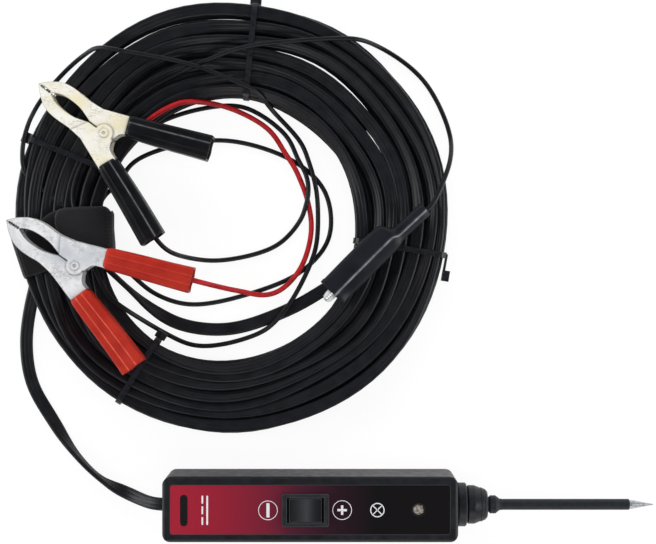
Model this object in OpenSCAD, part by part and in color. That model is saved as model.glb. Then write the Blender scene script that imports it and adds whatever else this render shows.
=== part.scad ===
// Automotive circuit tester: a handle with a rocker switch, an indicator lamp and a probe tip,
// on a long flat cable wound into a ring, with two battery clamps and a small booted clip.
// Millimetres, +Z up. The origin is under the middle of the handle and probe, on the table.

/* [Handle] */
// Length of the handle housing
body_l = 128; // [120:1:150]
// Width of the handle housing
body_w = 28.4; // [27.6:0.2:34]
// Height of the handle housing
body_h = 29; // [28.6:0.2:34]
// Radius of the housing's rounded edges
edge_r = 4; // [3:0.25:5]
// Radius of the long edges round its top and its underside
crown_r = 1.6; // [1:0.2:2.6]
// Thickness of the housing's walls
wall = 2.2; // [1.8:0.1:2.6]
// Height of the parting line above the table
split_z = 13; // [12:0.25:14]
// Depth of the recess that the label film fills
film_t = 0.4; // [0.3:0.05:0.6]
// Width of the rim left around the label film
film_rim = 3.6; // [3.4:0.1:4.6]

/* [Switch] */
// Distance from the housing's rear end to the rocker's pivot
switch_back = 62; // [56:1:70]
// Length of the switch bezel
bezel_l = 20.4; // [20:0.1:23]
// Width of the switch bezel
bezel_w = 14.2; // [13.8:0.1:16]
// Height of the bezel above the label film
bezel_t = 1.9; // [1.5:0.1:2.4]
// Radius of the rocker's barrel-shaped ends about its pivot
rocker_r = 7.7; // [7:0.1:7.9]
// Width of the rocker
rocker_w = 10.3; // [9.5:0.1:10.6]
// Gap between the rocker and its bezel
rocker_gap = 0.25; // [0.15:0.05:0.3]
// Depth of the switch body below the label film
switch_depth = 12; // [10.5:0.5:13]

/* [Lamp and board] */
// Distance from the housing's front end to the lamp
lamp_back = 17.2; // [15:0.2:22]
// Diameter of the lamp's clear body
lamp_d = 5; // [4:0.1:5.4]
// Thickness of the circuit board
board_t = 1.6; // [1:0.2:2]
// Height of the circuit board's underside above the table
board_z = 8; // [7:0.25:8.5]

/* [Probe] */
// Length of the probe, from the housing to its point
probe_l = 87.4; // [75:1:110]
// Diameter of the steel probe rod
rod_d = 4; // [3:0.1:4.4]
// Wall of the insulating sleeve on the probe
sleeve_t = 0.4; // [0.3:0.05:0.6]
// Length of the rod left bare at the point
bare_l = 10.8; // [8:0.2:16]
// Outer diameter of the gland's ring
gland_d = 19.2; // [18:0.2:21]
// Length of the gland nut
gland_nut_l = 8.7; // [8:0.1:11]

/* [Battery clamps] */
// Length of a clamp's jaws, from the tip to the rivet
clamp_jaw_l = 35.6; // [32:0.4:40]
// Widest reach of one jaw from the clamp's middle line
clamp_belly = 7.7; // [7:0.1:9]
// Height of the wider clamp half
clamp_h = 12; // [10.5:0.25:13]
// Thickness of the clamps' sheet steel
clamp_sheet = 0.9; // [0.7:0.1:1.1]
// Angle of the red clamp's handles to its middle line
red_spread = 19.5; // [18.5:0.5:24]
// Angle of the black clamp's handles to its middle line
black_spread = 21.5; // [18.5:0.5:24]
// Length of the plastic grips
grip_l = 38; // [34:0.5:44]
// Width of the plastic grips at the jaws' end
grip_w = 9.8; // [9.4:0.1:10.8]
// How much wider the grips are at their open end
grip_flare = 1.8; // [0:0.2:2.4]
// Diameter of the clamps' rivets
rivet_d = 3.2; // [2.6:0.1:3.8]

/* [Small clip] */
// Length of the boot, from its mouth to its shoulder
boot_l = 34; // [32:0.5:38]
// Width of the boot
boot_w = 14; // [13.6:0.1:15.5]
// Height of the boot
boot_h = 9.6; // [9.4:0.1:11]
// Length of the boot's tail
boot_tail_l = 21; // [16:0.5:28]
// Length of the clip's jaws, from the tip to the pin
clip_jaw_l = 20.5; // [19:0.25:23]
// Height of the wider clip half
clip_h = 7; // [6.4:0.1:7.2]

/* [Cable ring] */
// Outer radius of the coiled cable, on average
coil_ro = 95.8; // [93.8:0.5:97.3]
// Inner radius of the coiled cable, on average
coil_ri = 57.7; // [56.7:0.5:60.2]
// Height of the coiled cable
coil_h = 10; // [8:0.5:10]
// Width of a cable tie
tie_w = 2.5; // [2:0.1:3.6]
// Thickness of a cable tie
tie_t = 1; // [0.8:0.1:1.2]
// Width of the hook-and-loop strap
strap_w = 20; // [16:1:22]
// Thickness of the hook-and-loop strap
strap_t = 1.2; // [1:0.1:1.3]

/* [Hidden] */
$fn = 48;

// Clearances
fit = 0.1;
run = 0.05;
big = 400;

// Handle, from its rear end to its front end
rear_x = -(body_l + probe_l) / 2;
front_x = rear_x + body_l;
tip_x = front_x + probe_l;
inner_l = body_l - 2 * wall;
inner_w = body_w - 2 * wall;
roof_z = body_h - film_t - wall;
lip_h = 1.2;
lip_t = wall / 2;

// Housing screws, one in each corner
screw_d = 2.9;
screw_head_d = 5.6;
screw_head_h = 1.8;
screw_head_z = 1.4;
boss_d = 6.6;
boss_inset_x = wall + boss_d / 2 + 0.7;
boss_y = inner_w / 2 - boss_d / 2 + 0.6;
boss_xs = [rear_x + boss_inset_x, front_x - boss_inset_x];
screw_bore_top = roof_z - 2;

// Circuit board on four pegged posts
board_x0 = rear_x + 19;
board_x1 = front_x - 13.6;
board_w = inner_w - 3.4;
board_top = board_z + board_t;
peg_d = 1.8;
post_d = 4.4;
peg_xs = [board_x0 + 4, board_x1 - 9];
peg_y = board_w / 2 - 3;

// Switch
switch_x = rear_x + switch_back;
pivot_z = body_h - 1;
pivot_d = 1.8;
skirt_l = bezel_l - 1.6;
skirt_w = bezel_w - 1.4;
frame_in_l = 2 * rocker_r + 2 * rocker_gap;
frame_in_w = rocker_w + 2 * rocker_gap;
frame_floor_z = body_h - switch_depth;
frame_floor_t = 1.4;
contact_pitch = 5;
contact_t = 0.8;
contact_w = 4;

// Lamp
lamp_x = front_x - lamp_back;
lamp_flange_d = lamp_d + 0.8;
lamp_flange_z = board_top + 11.7;
lamp_dome_z = body_h - 1.6;

// Probe, gland and socket share one axis
axis_z = split_z;
socket_d = 8;
neck_d = 12;
seat_t = 1.2;
socket_x1 = front_x - wall - seat_t;
socket_l = 9.5;
ring_l = 4.6;
nut_x0 = front_x + ring_l + 0.6;
nut_x1 = nut_x0 + gland_nut_l;
nut_d = gland_d - 2.3;
thread_d = 10;
sleeve_od = rod_d + 2 * sleeve_t;
sleeve_x0 = nut_x1 + 0.5;
bulb_d = sleeve_od + 2.9;

// Cable entry
cable_w = 5.8;
cable_t = 2.2;
grommet_d = 9;
saddle_x = rear_x + 12.5;
saddle_w = 16;
saddle_l = 5;
saddle_screw_y = 6;
saddle_screw_d = 2;

// Ring of coiled cable, its ties and its strap
coil_x = -78;
coil_y = 125.4;
coil_z0 = 1.4;
coil_z1 = coil_z0 + coil_h;
coil_edge_r = 2.5;
tie_head = [4.8, 4.4, 3.2];
tie_gap = 0.25;
tie_angles = [84.2, 158.1, 237.6, -9.3];
hole_shift = 4.6;
hole_turn = 238;
rim_shift = 1.8;
rim_turn = 118;
strap_angle = 197.4;
strap_offset = -12.9;
strap_in = 51.4;
strap_top = coil_z1 + 3;

// Leads, and the sleeve where they leave the flat cable
lead_d = 2.1;
lead_red_d = 2.3;
sleeve_at = [-134.5, 104];
sleeve_turn = 136;
split_l = 17;

// Battery clamps: place of each rivet, and direction of the handles
red_at = [-145.3, 105.3, 17.1];
red_turn = -33.7;
red_grip_starts = [-0.7, -1.5];
black_at = [-133, 162.8, 15];
black_turn = -37.2;
black_grip_starts = [-1.3, -3.9];
ear_r = 3.9;
handle_at = [9.7, 10.1];
handle_w = grip_w - 1.6;
handle_l = grip_l - 10;
nest_gap = clamp_sheet + 0.06;
grip_wall = 1.2;
step_at = [-11.8, 6.5];
step_turn = -61;

// Small clip
clip_sheet = 0.6;
clip_at = [-23, 104.8];
clip_turn = 45.6;
boot_z = 12.8;
boot_wall = 1;
clip_z = boot_z + (boot_h - clip_h) / 2;
clip_pin_d = 1.8;
clip_nest = clip_sheet + 0.06;
tail_turn = -3.5;
tail_shift = -2.2;
tail_d = 6.6;
mouth_u = -16;
shoulder_l = 4;

// Routes of the cords: x, y, z and the turn of a flat cord about its own line
free_route = [
    [rear_x + 10, 0, axis_z, 0], [rear_x - 2, 0, axis_z, 0], [-118, 1, 8, 0],
    [-127, 4, 2.5, 20], [-138, 10, 3.1, 90], [-149, 21, 3.1, 80], [-160, 37, 1.6, 20],
    [-169, 53, 1.3, 0], [-171.5, 72, 1.3, 0], [-169, 88, 3.5, 0], [-165, 102, 6.4, 0]];
inner_route = [
    [-21, 106, 5, 0], [-28, 101, 2.5, 0], [-38, 94.5, 1.3, 0], [-53, 86, 1.3, 0],
    [-80, 77, 1.3, 0], [-102, 79, 1.3, 0], [-114, 85.5, 2.6, 45], [-125.5, 95.5, 4.5, 90],
    [-136, 105.5, 6.4, 90]];
red_route = [
    [-104, 101.4, 23.1], [-91, 98, 22], [-80, 95, 8], [-72, 93.4, 4.6], [-67, 92.2, 3.6],
    [-60, 93, 1.3], [-53.5, 97.5, 3.6], [-47.2, 106.3, 3.6], [-43.4, 122, 1.3],
    [-45.5, 136, 1.3], [-48.5, 144, 1.3], [-51, 149.5, 3.5], [-55, 155.5, 3.5],
    [-62, 166, 1.3], [-74, 173.5, 3.5], [-86, 177.6, 3.8], [-93, 178.2, 7.5],
    [-100.5, 177.8, 12.3], [-108, 174.6, 12.5], [-114, 170.9, 12], [-121, 165.5, 7],
    [-150, 138, 3.8], [-147.5, 116, 8.7]];
black_route = [
    [-115.5, 123.5, 21], [-107, 112.5, 20], [-96, 108.5, 4], [-82, 108, 1.2],
    [-59, 114.5, 1.2], [-48.2, 126, 1.6], [-46, 132, 3.9], [-44.6, 139, 3.9],
    [-46, 147, 3.8], [-49, 152, 3.7], [-54.5, 163.5, 1.2], [-70, 175.2, 1.2],
    [-80, 177.4, 1.2], [-105, 172.5, 1.5], [-123, 162, 4], [-144, 138, 4],
    [-146, 116, 6.4]];
aux_route = [
    [-144.5, 117, 4], [-136, 137, 3.6], [-130, 142, 2], [-124.5, 151, 1.2],
    [-108, 158.5, 1.2], [-80, 161.5, 1.2], [-50, 151.5, 1.2], [-37, 138, 1.2],
    [-35.5, 118, 1.2], [-47, 103.5, 1.2], [-70, 93.2, 1.2], [-98, 88, 1.2],
    [-114, 93, 1.2], [-123, 100.5, 3], [-132, 110, 8], [-152, 131, 9.4],
    [-170.5, 146, 7], [-171.5, 155.6, 11.2], [-170, 164.8, 11], [-166, 178, 1.2],
    [-146, 199.5, 1.2], [-137.5, 202, 12.4], [-128, 200.5, 12.9], [-97, 194.3, 13.8],
    [-76, 186.5, 14], [-70, 183.8, 13.9], [-65.5, 180.3, 11], [-61, 175, 3], [-48, 160.5, 1.2],
    [-44.6, 152, 2.5], [-42.2, 144, 3.7], [-40.8, 136, 1.2], [-40.8, 118, 1.2],
    [-42.6, 109.5, 3.7], [-51.5, 91, 3.7], [-60, 80, 3.7], [-66, 75.5, 1.2],
    [-84, 70, 1.2], [-97, 69.8, 1.2], [-110.5, 76, 1.9], [-120.5, 82.5, 8],
    [-127.5, 87.5, 12.8], [-133, 92, 12.6], [-147, 126, 12.6], [-149, 140, 9.8], [-134, 169, 9.8],
    [-118, 182, 9], [-103, 190.5, 9.3], [-90, 196, 12.6], [-73, 201.8, 14],
    [-34, 205.8, 12.7], [-23, 205.7, 12.2], [-12, 203, 1.4], [7, 188.5, 1.2],
    [18.5, 165, 1.2], [18.5, 154, 10], [14.5, 142, 17], [9, 131, 17.6],
    [4, 127.8, 17.6]];

// Point between the second and the third of four points, on a smooth curve
function between(a, b, c, d, t) =
    0.5 * (2 * b + (c - a) * t + (2 * a - 5 * b + 4 * c - d) * t * t
    + (3 * b - a - 3 * c + d) * t * t * t);
// Smooth line through the points, with n steps between each two
function smooth_line(p, n) = concat(
    [for (i = [0:len(p) - 2], k = [0:n - 1])
        between(p[max(i - 1, 0)], p[i], p[i + 1], p[min(i + 2, len(p) - 1)], k / n)],
    [p[len(p) - 1]]);
function reversed(p) = [for (i = [len(p) - 1:-1:0]) p[i]];
function unit(v) = v / norm(v);
// Direction of a line at its point i
function heading(p, i) = unit(p[min(i + 1, len(p) - 1)] - p[max(i - 1, 0)]);
function right_of(v) = [v[1], -v[0]];
// Outline of a strip of sheet that follows a line, on the line's right side
function strip(p, t) =
    concat(p, reversed([for (i = [0:len(p) - 1]) p[i] + t * right_of(heading(p, i))]));
function place(r) = [r[0], r[1], r[2]];
function roll(r) = len(r) > 3 ? r[3] : 0;

// Rounded rectangle with true arcs, centred
module rounded_rect(l, w, r) {
    square([l - 2 * r, w], center = true);
    square([l, w - 2 * r], center = true);
    for (x = [-1, 1], y = [-1, 1])
        translate([x * (l / 2 - r), y * (w / 2 - r)])
            circle(r);
}

// Block standing on z = 0, with upright edges of radius r and the others of radius crown
module rounded_block(l, w, h, r, crown) {
    intersection() {
        linear_extrude(h)
            rounded_rect(l, w, r);
        translate([0, 0, h / 2])
            rotate([90, 0, 0])
                linear_extrude(w + 2, center = true)
                    rounded_rect(l, h, crown);
        translate([0, 0, h / 2])
            rotate([90, 0, 90])
                linear_extrude(l + 2, center = true)
                    rounded_rect(w, h, crown);
    }
}

// Solid of revolution about the probe's axis, from points of [x, radius]
module on_axis(profile) {
    translate([0, 0, axis_z])
        rotate([0, 90, 0])
            rotate_extrude()
                polygon([for (p = profile) [p[1], p[0]]]);
}

// Tube of a width and a thickness swept along a route
module cord(route, w, t, sides) {
    last = len(route) - 1;
    points = [for (i = [0:last], k = [0:sides - 1])
        let(
            a = place(route[max(i - 1, 0)]),
            b = place(route[min(i + 1, last)]),
            along = unit(b - a),
            flat_side = unit(cross([0, 0, 1], along)),
            flat_up = cross(along, flat_side),
            side = flat_side * cos(roll(route[i])) + flat_up * sin(roll(route[i])),
            up = flat_up * cos(roll(route[i])) - flat_side * sin(roll(route[i])),
            turn = 360 * (k + 0.5) / sides)
        place(route[i]) + side * w / 2 * cos(turn) / cos(180 / sides)
            + up * t / 2 * sin(turn) / cos(180 / sides)];
    walls = [for (i = [0:last - 1], k = [0:sides - 1])
        let(a = i * sides + k, b = i * sides + (k + 1) % sides)
        each [[a, a + sides, b + sides], [a, b + sides, b]]];
    start = [for (k = [0:sides - 1]) k];
    end = [for (k = [sides - 1:-1:0]) last * sides + k];
    polyhedron(points, concat([start], walls, [end]));
}

module body_block() {
    translate([rear_x + body_l / 2, 0, 0])
        rounded_block(body_l, body_w, body_h, edge_r, crown_r);
}

module body_hollow() {
    translate([rear_x + body_l / 2, 0, wall])
        rounded_block(inner_l, inner_w, roof_z - wall, edge_r - wall / 2, edge_r - wall / 2);
}

module slab(z0, z1) {
    translate([-big, -big, z0])
        cube([2 * big, 2 * big, z1 - z0]);
}

module at_bosses() {
    for (x = boss_xs, y = [-boss_y, boss_y])
        translate([x, y, 0])
            children();
}

// Holes through both shells at the ends, for the cable and the gland
module end_holes() {
    translate([rear_x - 1, 0, axis_z])
        rotate([0, 90, 0])
            cylinder(d = grommet_d, h = wall + 2);
    translate([front_x - wall - 1, 0, axis_z])
        rotate([0, 90, 0])
            cylinder(d = neck_d + fit, h = wall + 2);
}

// Closed outline of the step where the two shells meet
module lip_outline(grow) {
    translate([rear_x + body_l / 2, 0])
        rounded_rect(inner_l + 2 * lip_t + 2 * grow, inner_w + 2 * lip_t + 2 * grow,
            edge_r - wall / 2 + grow);
}

module lower_shell() {
    color("#1d1e20")
    difference() {
        union() {
            difference() {
                intersection() {
                    body_block();
                    slab(0, split_z);
                }
                body_hollow();
            }
            difference() {
                translate([0, 0, split_z - 0.5])
                    linear_extrude(lip_h + 0.5)
                        lip_outline(0);
                translate([rear_x + body_l / 2, 0, split_z - 1])
                    linear_extrude(lip_h + 2)
                        rounded_rect(inner_l, inner_w, edge_r - wall / 2 - lip_t / 2);
            }
            at_bosses()
                translate([0, 0, wall / 2])
                    cylinder(d = boss_d, h = split_z - wall / 2);
            for (x = peg_xs, y = [-peg_y, peg_y])
                translate([x, y, wall / 2]) {
                    cylinder(d = post_d, h = board_z - wall / 2);
                    cylinder(d = peg_d, h = board_top + 1 - wall / 2);
                }
            for (y = [-saddle_screw_y, saddle_screw_y])
                translate([saddle_x, y, wall / 2])
                    cylinder(d = saddle_l, h = axis_z + cable_t / 2 - wall / 2);
            translate([saddle_x - 1, -saddle_screw_y, wall / 2])
                cube([2, 2 * saddle_screw_y, axis_z - cable_t / 2 - 0.1 - wall / 2]);
        }
        end_holes();
        at_bosses() {
            translate([0, 0, -1])
                cylinder(d = screw_d + 2 * fit, h = split_z + 2 + lip_h);
            translate([0, 0, -1])
                cylinder(d = screw_head_d + 2 * fit, h = screw_head_z + screw_head_h + 1);
        }
        for (y = [-saddle_screw_y, saddle_screw_y])
            translate([saddle_x, y, axis_z - 6])
                cylinder(d = saddle_screw_d + 2 * run, h = 10);
        // The cable passes between the two screw posts
        translate([saddle_x - 4, -cable_w / 2 - 0.1, axis_z - cable_t / 2 - 0.1])
            cube([8, cable_w + 0.2, 6]);
    }
}

module upper_shell() {
    color("#232427")
    difference() {
        union() {
            difference() {
                intersection() {
                    body_block();
                    slab(split_z, body_h + 1);
                }
                body_hollow();
            }
            at_bosses()
                translate([0, 0, split_z])
                    cylinder(d = boss_d, h = roof_z - split_z + wall / 2);
        }
        translate([0, 0, split_z - 1])
            linear_extrude(lip_h + 1 + fit)
                difference() {
                    lip_outline(fit);
                    translate([rear_x + body_l / 2, 0])
                        square([inner_l - 2 * boss_inset_x, inner_w / 2], center = true);
                    for (x = boss_xs, y = [-boss_y, boss_y])
                        translate([x, y])
                            circle(d = boss_d - 2.4);
                }
        end_holes();
        at_bosses()
            translate([0, 0, split_z - 1])
                cylinder(d = screw_d + 2 * run, h = screw_bore_top - split_z + 1);
        // Recess for the label film, window for the switch and hole for the lamp
        translate([rear_x + body_l / 2, 0, body_h - film_t])
            linear_extrude(film_t + 1)
                rounded_rect(body_l - 2 * film_rim, body_w - 2 * film_rim, 1);
        translate([switch_x, 0, roof_z - 1])
            linear_extrude(wall + film_t + 2)
                square([skirt_l + 2 * fit, skirt_w + 2 * fit], center = true);
        translate([lamp_x, 0, roof_z - 1])
            cylinder(d = lamp_d + 2 * fit, h = wall + film_t + 2);
    }
}

module label_film() {
    color("#8e1a2e")
    translate([0, 0, body_h - film_t])
        linear_extrude(film_t)
            difference() {
                translate([rear_x + body_l / 2, 0])
                    rounded_rect(body_l - 2 * film_rim - fit, body_w - 2 * film_rim - fit, 0.9);
                translate([switch_x, 0])
                    square([skirt_l + 2 * fit, skirt_w + 2 * fit], center = true);
                translate([lamp_x, 0])
                    circle(d = lamp_d + 0.9);
            }
}

module housing_screws() {
    color("#8d9094")
    at_bosses()
        translate([0, 0, screw_head_z])
            difference() {
                union() {
                    cylinder(d = screw_head_d, h = screw_head_h);
                    cylinder(d = screw_d, h = screw_bore_top - 1 - screw_head_z);
                }
                for (turn = [0, 90])
                    rotate(turn)
                        translate([-1.6, -0.35, -1])
                            cube([3.2, 0.7, 2]);
            }
}

module circuit_board() {
    color("#1f5a3a")
    translate([0, 0, board_z])
        linear_extrude(board_t)
            difference() {
                translate([board_x0, -board_w / 2])
                    square([board_x1 - board_x0, board_w]);
                for (x = peg_xs, y = [-peg_y, peg_y])
                    translate([x, y])
                        circle(d = peg_d + 2 * fit);
                for (k = [-1:1])
                    translate([switch_x + k * contact_pitch, 0])
                        square([contact_t + 2 * fit, contact_w + 2 * fit], center = true);
            }
}

module switch_frame() {
    color("#27282b")
    translate([switch_x, 0, 0])
    difference() {
        union() {
            translate([0, 0, body_h])
                linear_extrude(bezel_t)
                    rounded_rect(bezel_l, bezel_w, 1);
            translate([0, 0, frame_floor_z])
                linear_extrude(switch_depth)
                    square([skirt_l, skirt_w], center = true);
        }
        translate([0, 0, frame_floor_z + frame_floor_t])
            linear_extrude(switch_depth + bezel_t)
                square([frame_in_l, frame_in_w], center = true);
        translate([0, 0, pivot_z])
            rotate([90, 0, 0])
                cylinder(d = pivot_d + 2 * run, h = skirt_w + 2, center = true);
        for (k = [-1:1])
            translate([k * contact_pitch, 0, frame_floor_z - 1])
                linear_extrude(frame_floor_t + 2)
                    square([contact_t + 2 * run, contact_w + 2 * run], center = true);
    }
}

module switch_contacts() {
    color("#c9a45a")
    for (k = [-1:1])
        translate([switch_x + k * contact_pitch, 0, 0]) {
            translate([-contact_t / 2, -contact_w / 2, board_z - 1])
                cube([contact_t, contact_w, frame_floor_z + frame_floor_t + 0.8 - board_z + 1]);
            translate([-contact_t, -contact_w / 2 - 0.5, frame_floor_z + frame_floor_t])
                cube([2 * contact_t, contact_w + 1, 0.8]);
        }
}

// Rocker with barrel ends, a dished top, pivot pins and a nose that works the contacts
module rocker() {
    dish_r = 28;
    dish_z = 2.5;
    color("#141517")
    translate([switch_x, 0, pivot_z]) {
        intersection() {
            rotate([90, 0, 0])
                linear_extrude(rocker_w, center = true)
                    difference() {
                        circle(rocker_r);
                        translate([0, dish_z + dish_r])
                            circle(dish_r, $fn = 160);
                        translate([-10, -13])
                            square([20, 10]);
                    }
            linear_extrude(30, center = true)
                rounded_rect(2 * rocker_r, rocker_w, 1.4);
        }
        rotate([90, 0, 0])
            cylinder(d = pivot_d, h = skirt_w - 0.3, center = true);
        translate([-1.2, -2, -5])
            cube([2.4, 4, 3]);
    }
}

module lamp() {
    leg_top = lamp_flange_z + 1;
    color("#c9ccd0")
    translate([lamp_x, 0, 0]) {
        translate([0, 0, lamp_flange_z])
            cylinder(d = lamp_flange_d, h = 1);
        translate([0, 0, lamp_flange_z])
            cylinder(d = lamp_d, h = lamp_dome_z - lamp_flange_z);
        translate([0, 0, lamp_dome_z])
            sphere(d = lamp_d);
        for (y = [-1.27, 1.27])
            translate([-0.25, y - 0.25, board_top])
                cube([0.5, 0.5, leg_top - board_top]);
    }
}

module lamp_spacer() {
    color("#101113")
    translate([lamp_x, 0, board_top])
        difference() {
            cylinder(d = lamp_flange_d + 1, h = lamp_flange_z - board_top);
            for (y = [-1.27, 1.27])
                translate([-0.4, y - 0.4, -1])
                    cube([0.8, 0.8, lamp_flange_z]);
        }
}

// Resettable breaker: a flat disc that stands on two legs
module breaker() {
    disc_r = 4.6;
    color("#c8a13a")
    translate([switch_x + 24, 0, board_top]) {
        translate([-1.5, 0, disc_r + 1])
            rotate([0, 90, 0])
                cylinder(r = disc_r, h = 3);
        for (y = [-2.5, 2.5])
            translate([-0.4, y - 0.4, 0])
                cube([0.8, 0.8, 4]);
    }
}

// Socket that holds the rod, with a radial screw
module probe_socket() {
    color("#c9a45a")
    difference() {
        on_axis([
            [socket_x1 - socket_l, rod_d / 2 + run], [socket_x1 - socket_l, socket_d / 2 - 0.5],
            [socket_x1 - socket_l + 0.5, socket_d / 2], [socket_x1, socket_d / 2],
            [socket_x1, rod_d / 2 + run]]);
        translate([socket_x1 - socket_l / 2, 0, axis_z])
            cylinder(d = screw_d + 2 * run, h = socket_d);
    }
}

module socket_screw() {
    color("#8d9094")
    translate([socket_x1 - socket_l / 2, 0, axis_z + rod_d / 2 + run])
        difference() {
            cylinder(d = screw_d, h = socket_d / 2 + 0.4 - rod_d / 2);
            translate([-2, -0.3, socket_d / 2 - 0.2 - rod_d / 2])
                cube([4, 0.6, 1]);
        }
}

// Gland body: a seat inside the wall, a neck through it, a ring outside and the thread
module gland_body() {
    ring_x = front_x + 0.6;
    color("#2a2b2e")
    on_axis([
        [front_x - wall - seat_t, rod_d / 2 + run], [front_x - wall - seat_t, neck_d / 2 + 1],
        [front_x - wall, neck_d / 2 + 1], [front_x - wall, neck_d / 2],
        [ring_x, neck_d / 2], [ring_x, gland_d / 2 - 0.5], [ring_x + 0.5, gland_d / 2],
        [front_x + ring_l - 0.5, gland_d / 2], [front_x + ring_l, gland_d / 2 - 0.5],
        [front_x + ring_l, thread_d / 2], [nut_x1 - 3.4, thread_d / 2],
        [nut_x1 - 3.4, rod_d / 2 + run]]);
}

// Gland nut with a conical nose, fluted for the fingers
module gland_nut() {
    flutes = 16;
    nose_d = nut_d - 4.5;
    color("#2a2b2e")
    difference() {
        on_axis([
            [nut_x0, thread_d / 2 + run], [nut_x0, nut_d / 2 - 0.3], [nut_x0 + 0.3, nut_d / 2],
            [nut_x0 + 2.9, nut_d / 2], [nut_x1 - 0.6, nose_d / 2 + 0.2],
            [nut_x1, nose_d / 2 - 0.5], [nut_x1, sleeve_od / 2 + fit],
            [nut_x1 - 1.2, sleeve_od / 2 + fit], [nut_x1 - 1.2, thread_d / 2 + run]]);
        for (k = [0:flutes - 1])
            translate([nut_x0 + 4.6, 0, axis_z])
                rotate([k * 360 / flutes, 0, 0])
                    translate([0, 0, nut_d / 2 + 0.2])
                        rotate([0, 90, 0])
                            cylinder(r = 0.9, h = gland_nut_l);
    }
}

module gland_bush() {
    color("#3a3b3d")
    on_axis([
        [nut_x1 - 3.3, rod_d / 2 + run], [nut_x1 - 3.3, thread_d / 2 - 0.3],
        [nut_x1 - 1.3, thread_d / 2 - 0.3], [nut_x1 - 1.3, rod_d / 2 + run]]);
}

module probe_rod() {
    color("#c3c6ca")
    on_axis([
        [socket_x1 - socket_l, 0], [socket_x1 - socket_l, rod_d / 2],
        [tip_x - bare_l + 1.2, rod_d / 2], [tip_x - bare_l + 2, rod_d / 2 - 0.15],
        [tip_x - 0.4, 0.22], [tip_x, 0]]);
}

// Insulating sleeve, shrunk over a ribbed bulb next to the gland
module probe_sleeve() {
    bulb_x = sleeve_x0 + 0.7;
    bulb_l = 2.6;
    color("#1b1c1e")
    on_axis([
        [sleeve_x0, rod_d / 2 + run], [sleeve_x0, bulb_d / 2 - 0.7], [bulb_x, bulb_d / 2],
        [bulb_x + bulb_l, bulb_d / 2], [bulb_x + bulb_l + 1.7, sleeve_od / 2 + 0.15],
        [bulb_x + bulb_l + 3, sleeve_od / 2], [tip_x - bare_l - 0.3, sleeve_od / 2],
        [tip_x - bare_l, sleeve_od / 2 - 0.2], [tip_x - bare_l, rod_d / 2 + run]]);
}

module cable_grommet() {
    color("#17181a")
    difference() {
        on_axis([
            [rear_x, 0], [rear_x, grommet_d / 2 - fit], [rear_x + wall, grommet_d / 2 - fit],
            [rear_x + wall, grommet_d / 2 + 1], [rear_x + wall + 1.4, grommet_d / 2 + 1],
            [rear_x + wall + 1.4, 0]]);
        translate([rear_x - 1, -cable_w / 2 - 0.1, axis_z - cable_t / 2 - 0.1])
            cube([wall + 4, cable_w + 0.2, cable_t + 0.2]);
    }
}

// Bar that holds the cable down inside the housing
module cable_clamp() {
    color("#2a2b2e")
    translate([saddle_x, 0, axis_z + cable_t / 2 + 0.05])
        difference() {
            linear_extrude(2)
                rounded_rect(saddle_l, saddle_w, 1);
            for (y = [-saddle_screw_y, saddle_screw_y])
                translate([0, y, -1])
                    cylinder(d = saddle_screw_d + 2 * run, h = 4);
        }
}

module clamp_screws() {
    color("#8d9094")
    for (y = [-saddle_screw_y, saddle_screw_y])
        translate([saddle_x, y, 0]) {
            translate([0, 0, axis_z - 5])
                cylinder(d = saddle_screw_d, h = 9);
            translate([0, 0, axis_z + cable_t / 2 + 2.05])
                cylinder(d = 3.8, h = 1.3);
        }
}

module cable_free() {
    color("#161719")
        cord(free_route, cable_w, cable_t, 12);
}

module cable_inner() {
    color("#161719")
        cord(inner_route, cable_w, cable_t, 12);
}

module lead_red() {
    color("#b3202a")
        cord(red_route, lead_red_d, lead_red_d, 8);
}

module lead_black() {
    color("#161719")
        cord(black_route, lead_d, lead_d, 8);
}

module lead_aux() {
    color("#161719")
        cord(aux_route, lead_d, lead_d, 8);
}

// Radii of the ring at an angle: its hole lies off its middle, and the top tie draws it in
function drawn_in(a) = exp(-pow((a - tie_angles[0]) / 15, 2));
function ring_in(a) =
    coil_ri + hole_shift * cos(a - hole_turn) - 0.8 * cos(2 * a) + 0.9 * drawn_in(a);
function ring_out(a) = coil_ro + rim_shift * cos(a - rim_turn) - 1.2 * drawn_in(a);

// Upright section of the ring at an angle, grown by a margin: points of [radius, height]
function coil_section(a, margin) =
    let(
        r = coil_edge_r + margin,
        left = ring_in(a) - margin + r,
        right = ring_out(a) + margin - r,
        low = coil_z0 - margin + r,
        high = coil_z1 + margin - r,
        centres = [[right, high], [left, high], [left, low], [right, low]])
    [for (q = [0:3], k = [0:4])
        centres[q] + r * [cos(90 * q + 22.5 * k), sin(90 * q + 22.5 * k)]];

module cable_coil() {
    count = 60;
    sides = 20;
    points = [for (i = [0:count - 1])
        let(a = 360 * i / count)
        for (p = coil_section(a, 0))
            [coil_x + p[0] * cos(a), coil_y + p[0] * sin(a), p[1]]];
    walls = [for (i = [0:count - 1], k = [0:sides - 1])
        let(
            a = i * sides + k,
            b = i * sides + (k + 1) % sides,
            c = ((i + 1) % count) * sides + k,
            d = ((i + 1) % count) * sides + (k + 1) % sides)
        each [[a, c, d], [a, d, b]]];
    color("#161719")
        polyhedron(points, walls);
}

// Sleeve over the place where the flat cable splits into three leads, among the ring's turns
module split_sleeve() {
    color("#101113")
    translate([sleeve_at[0], sleeve_at[1], coil_z0 + coil_h / 2])
        rotate([0, 0, sleeve_turn])
            rotate([90, 0, 90])
                difference() {
                    linear_extrude(split_l)
                        rounded_rect(cable_t + 1.8, cable_w + 1.8, 1.7);
                    translate([0, 0, -1])
                        linear_extrude(split_l + 2)
                            rounded_rect(cable_t + 0.7, cable_w + 1, 1.2);
                }
}

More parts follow.
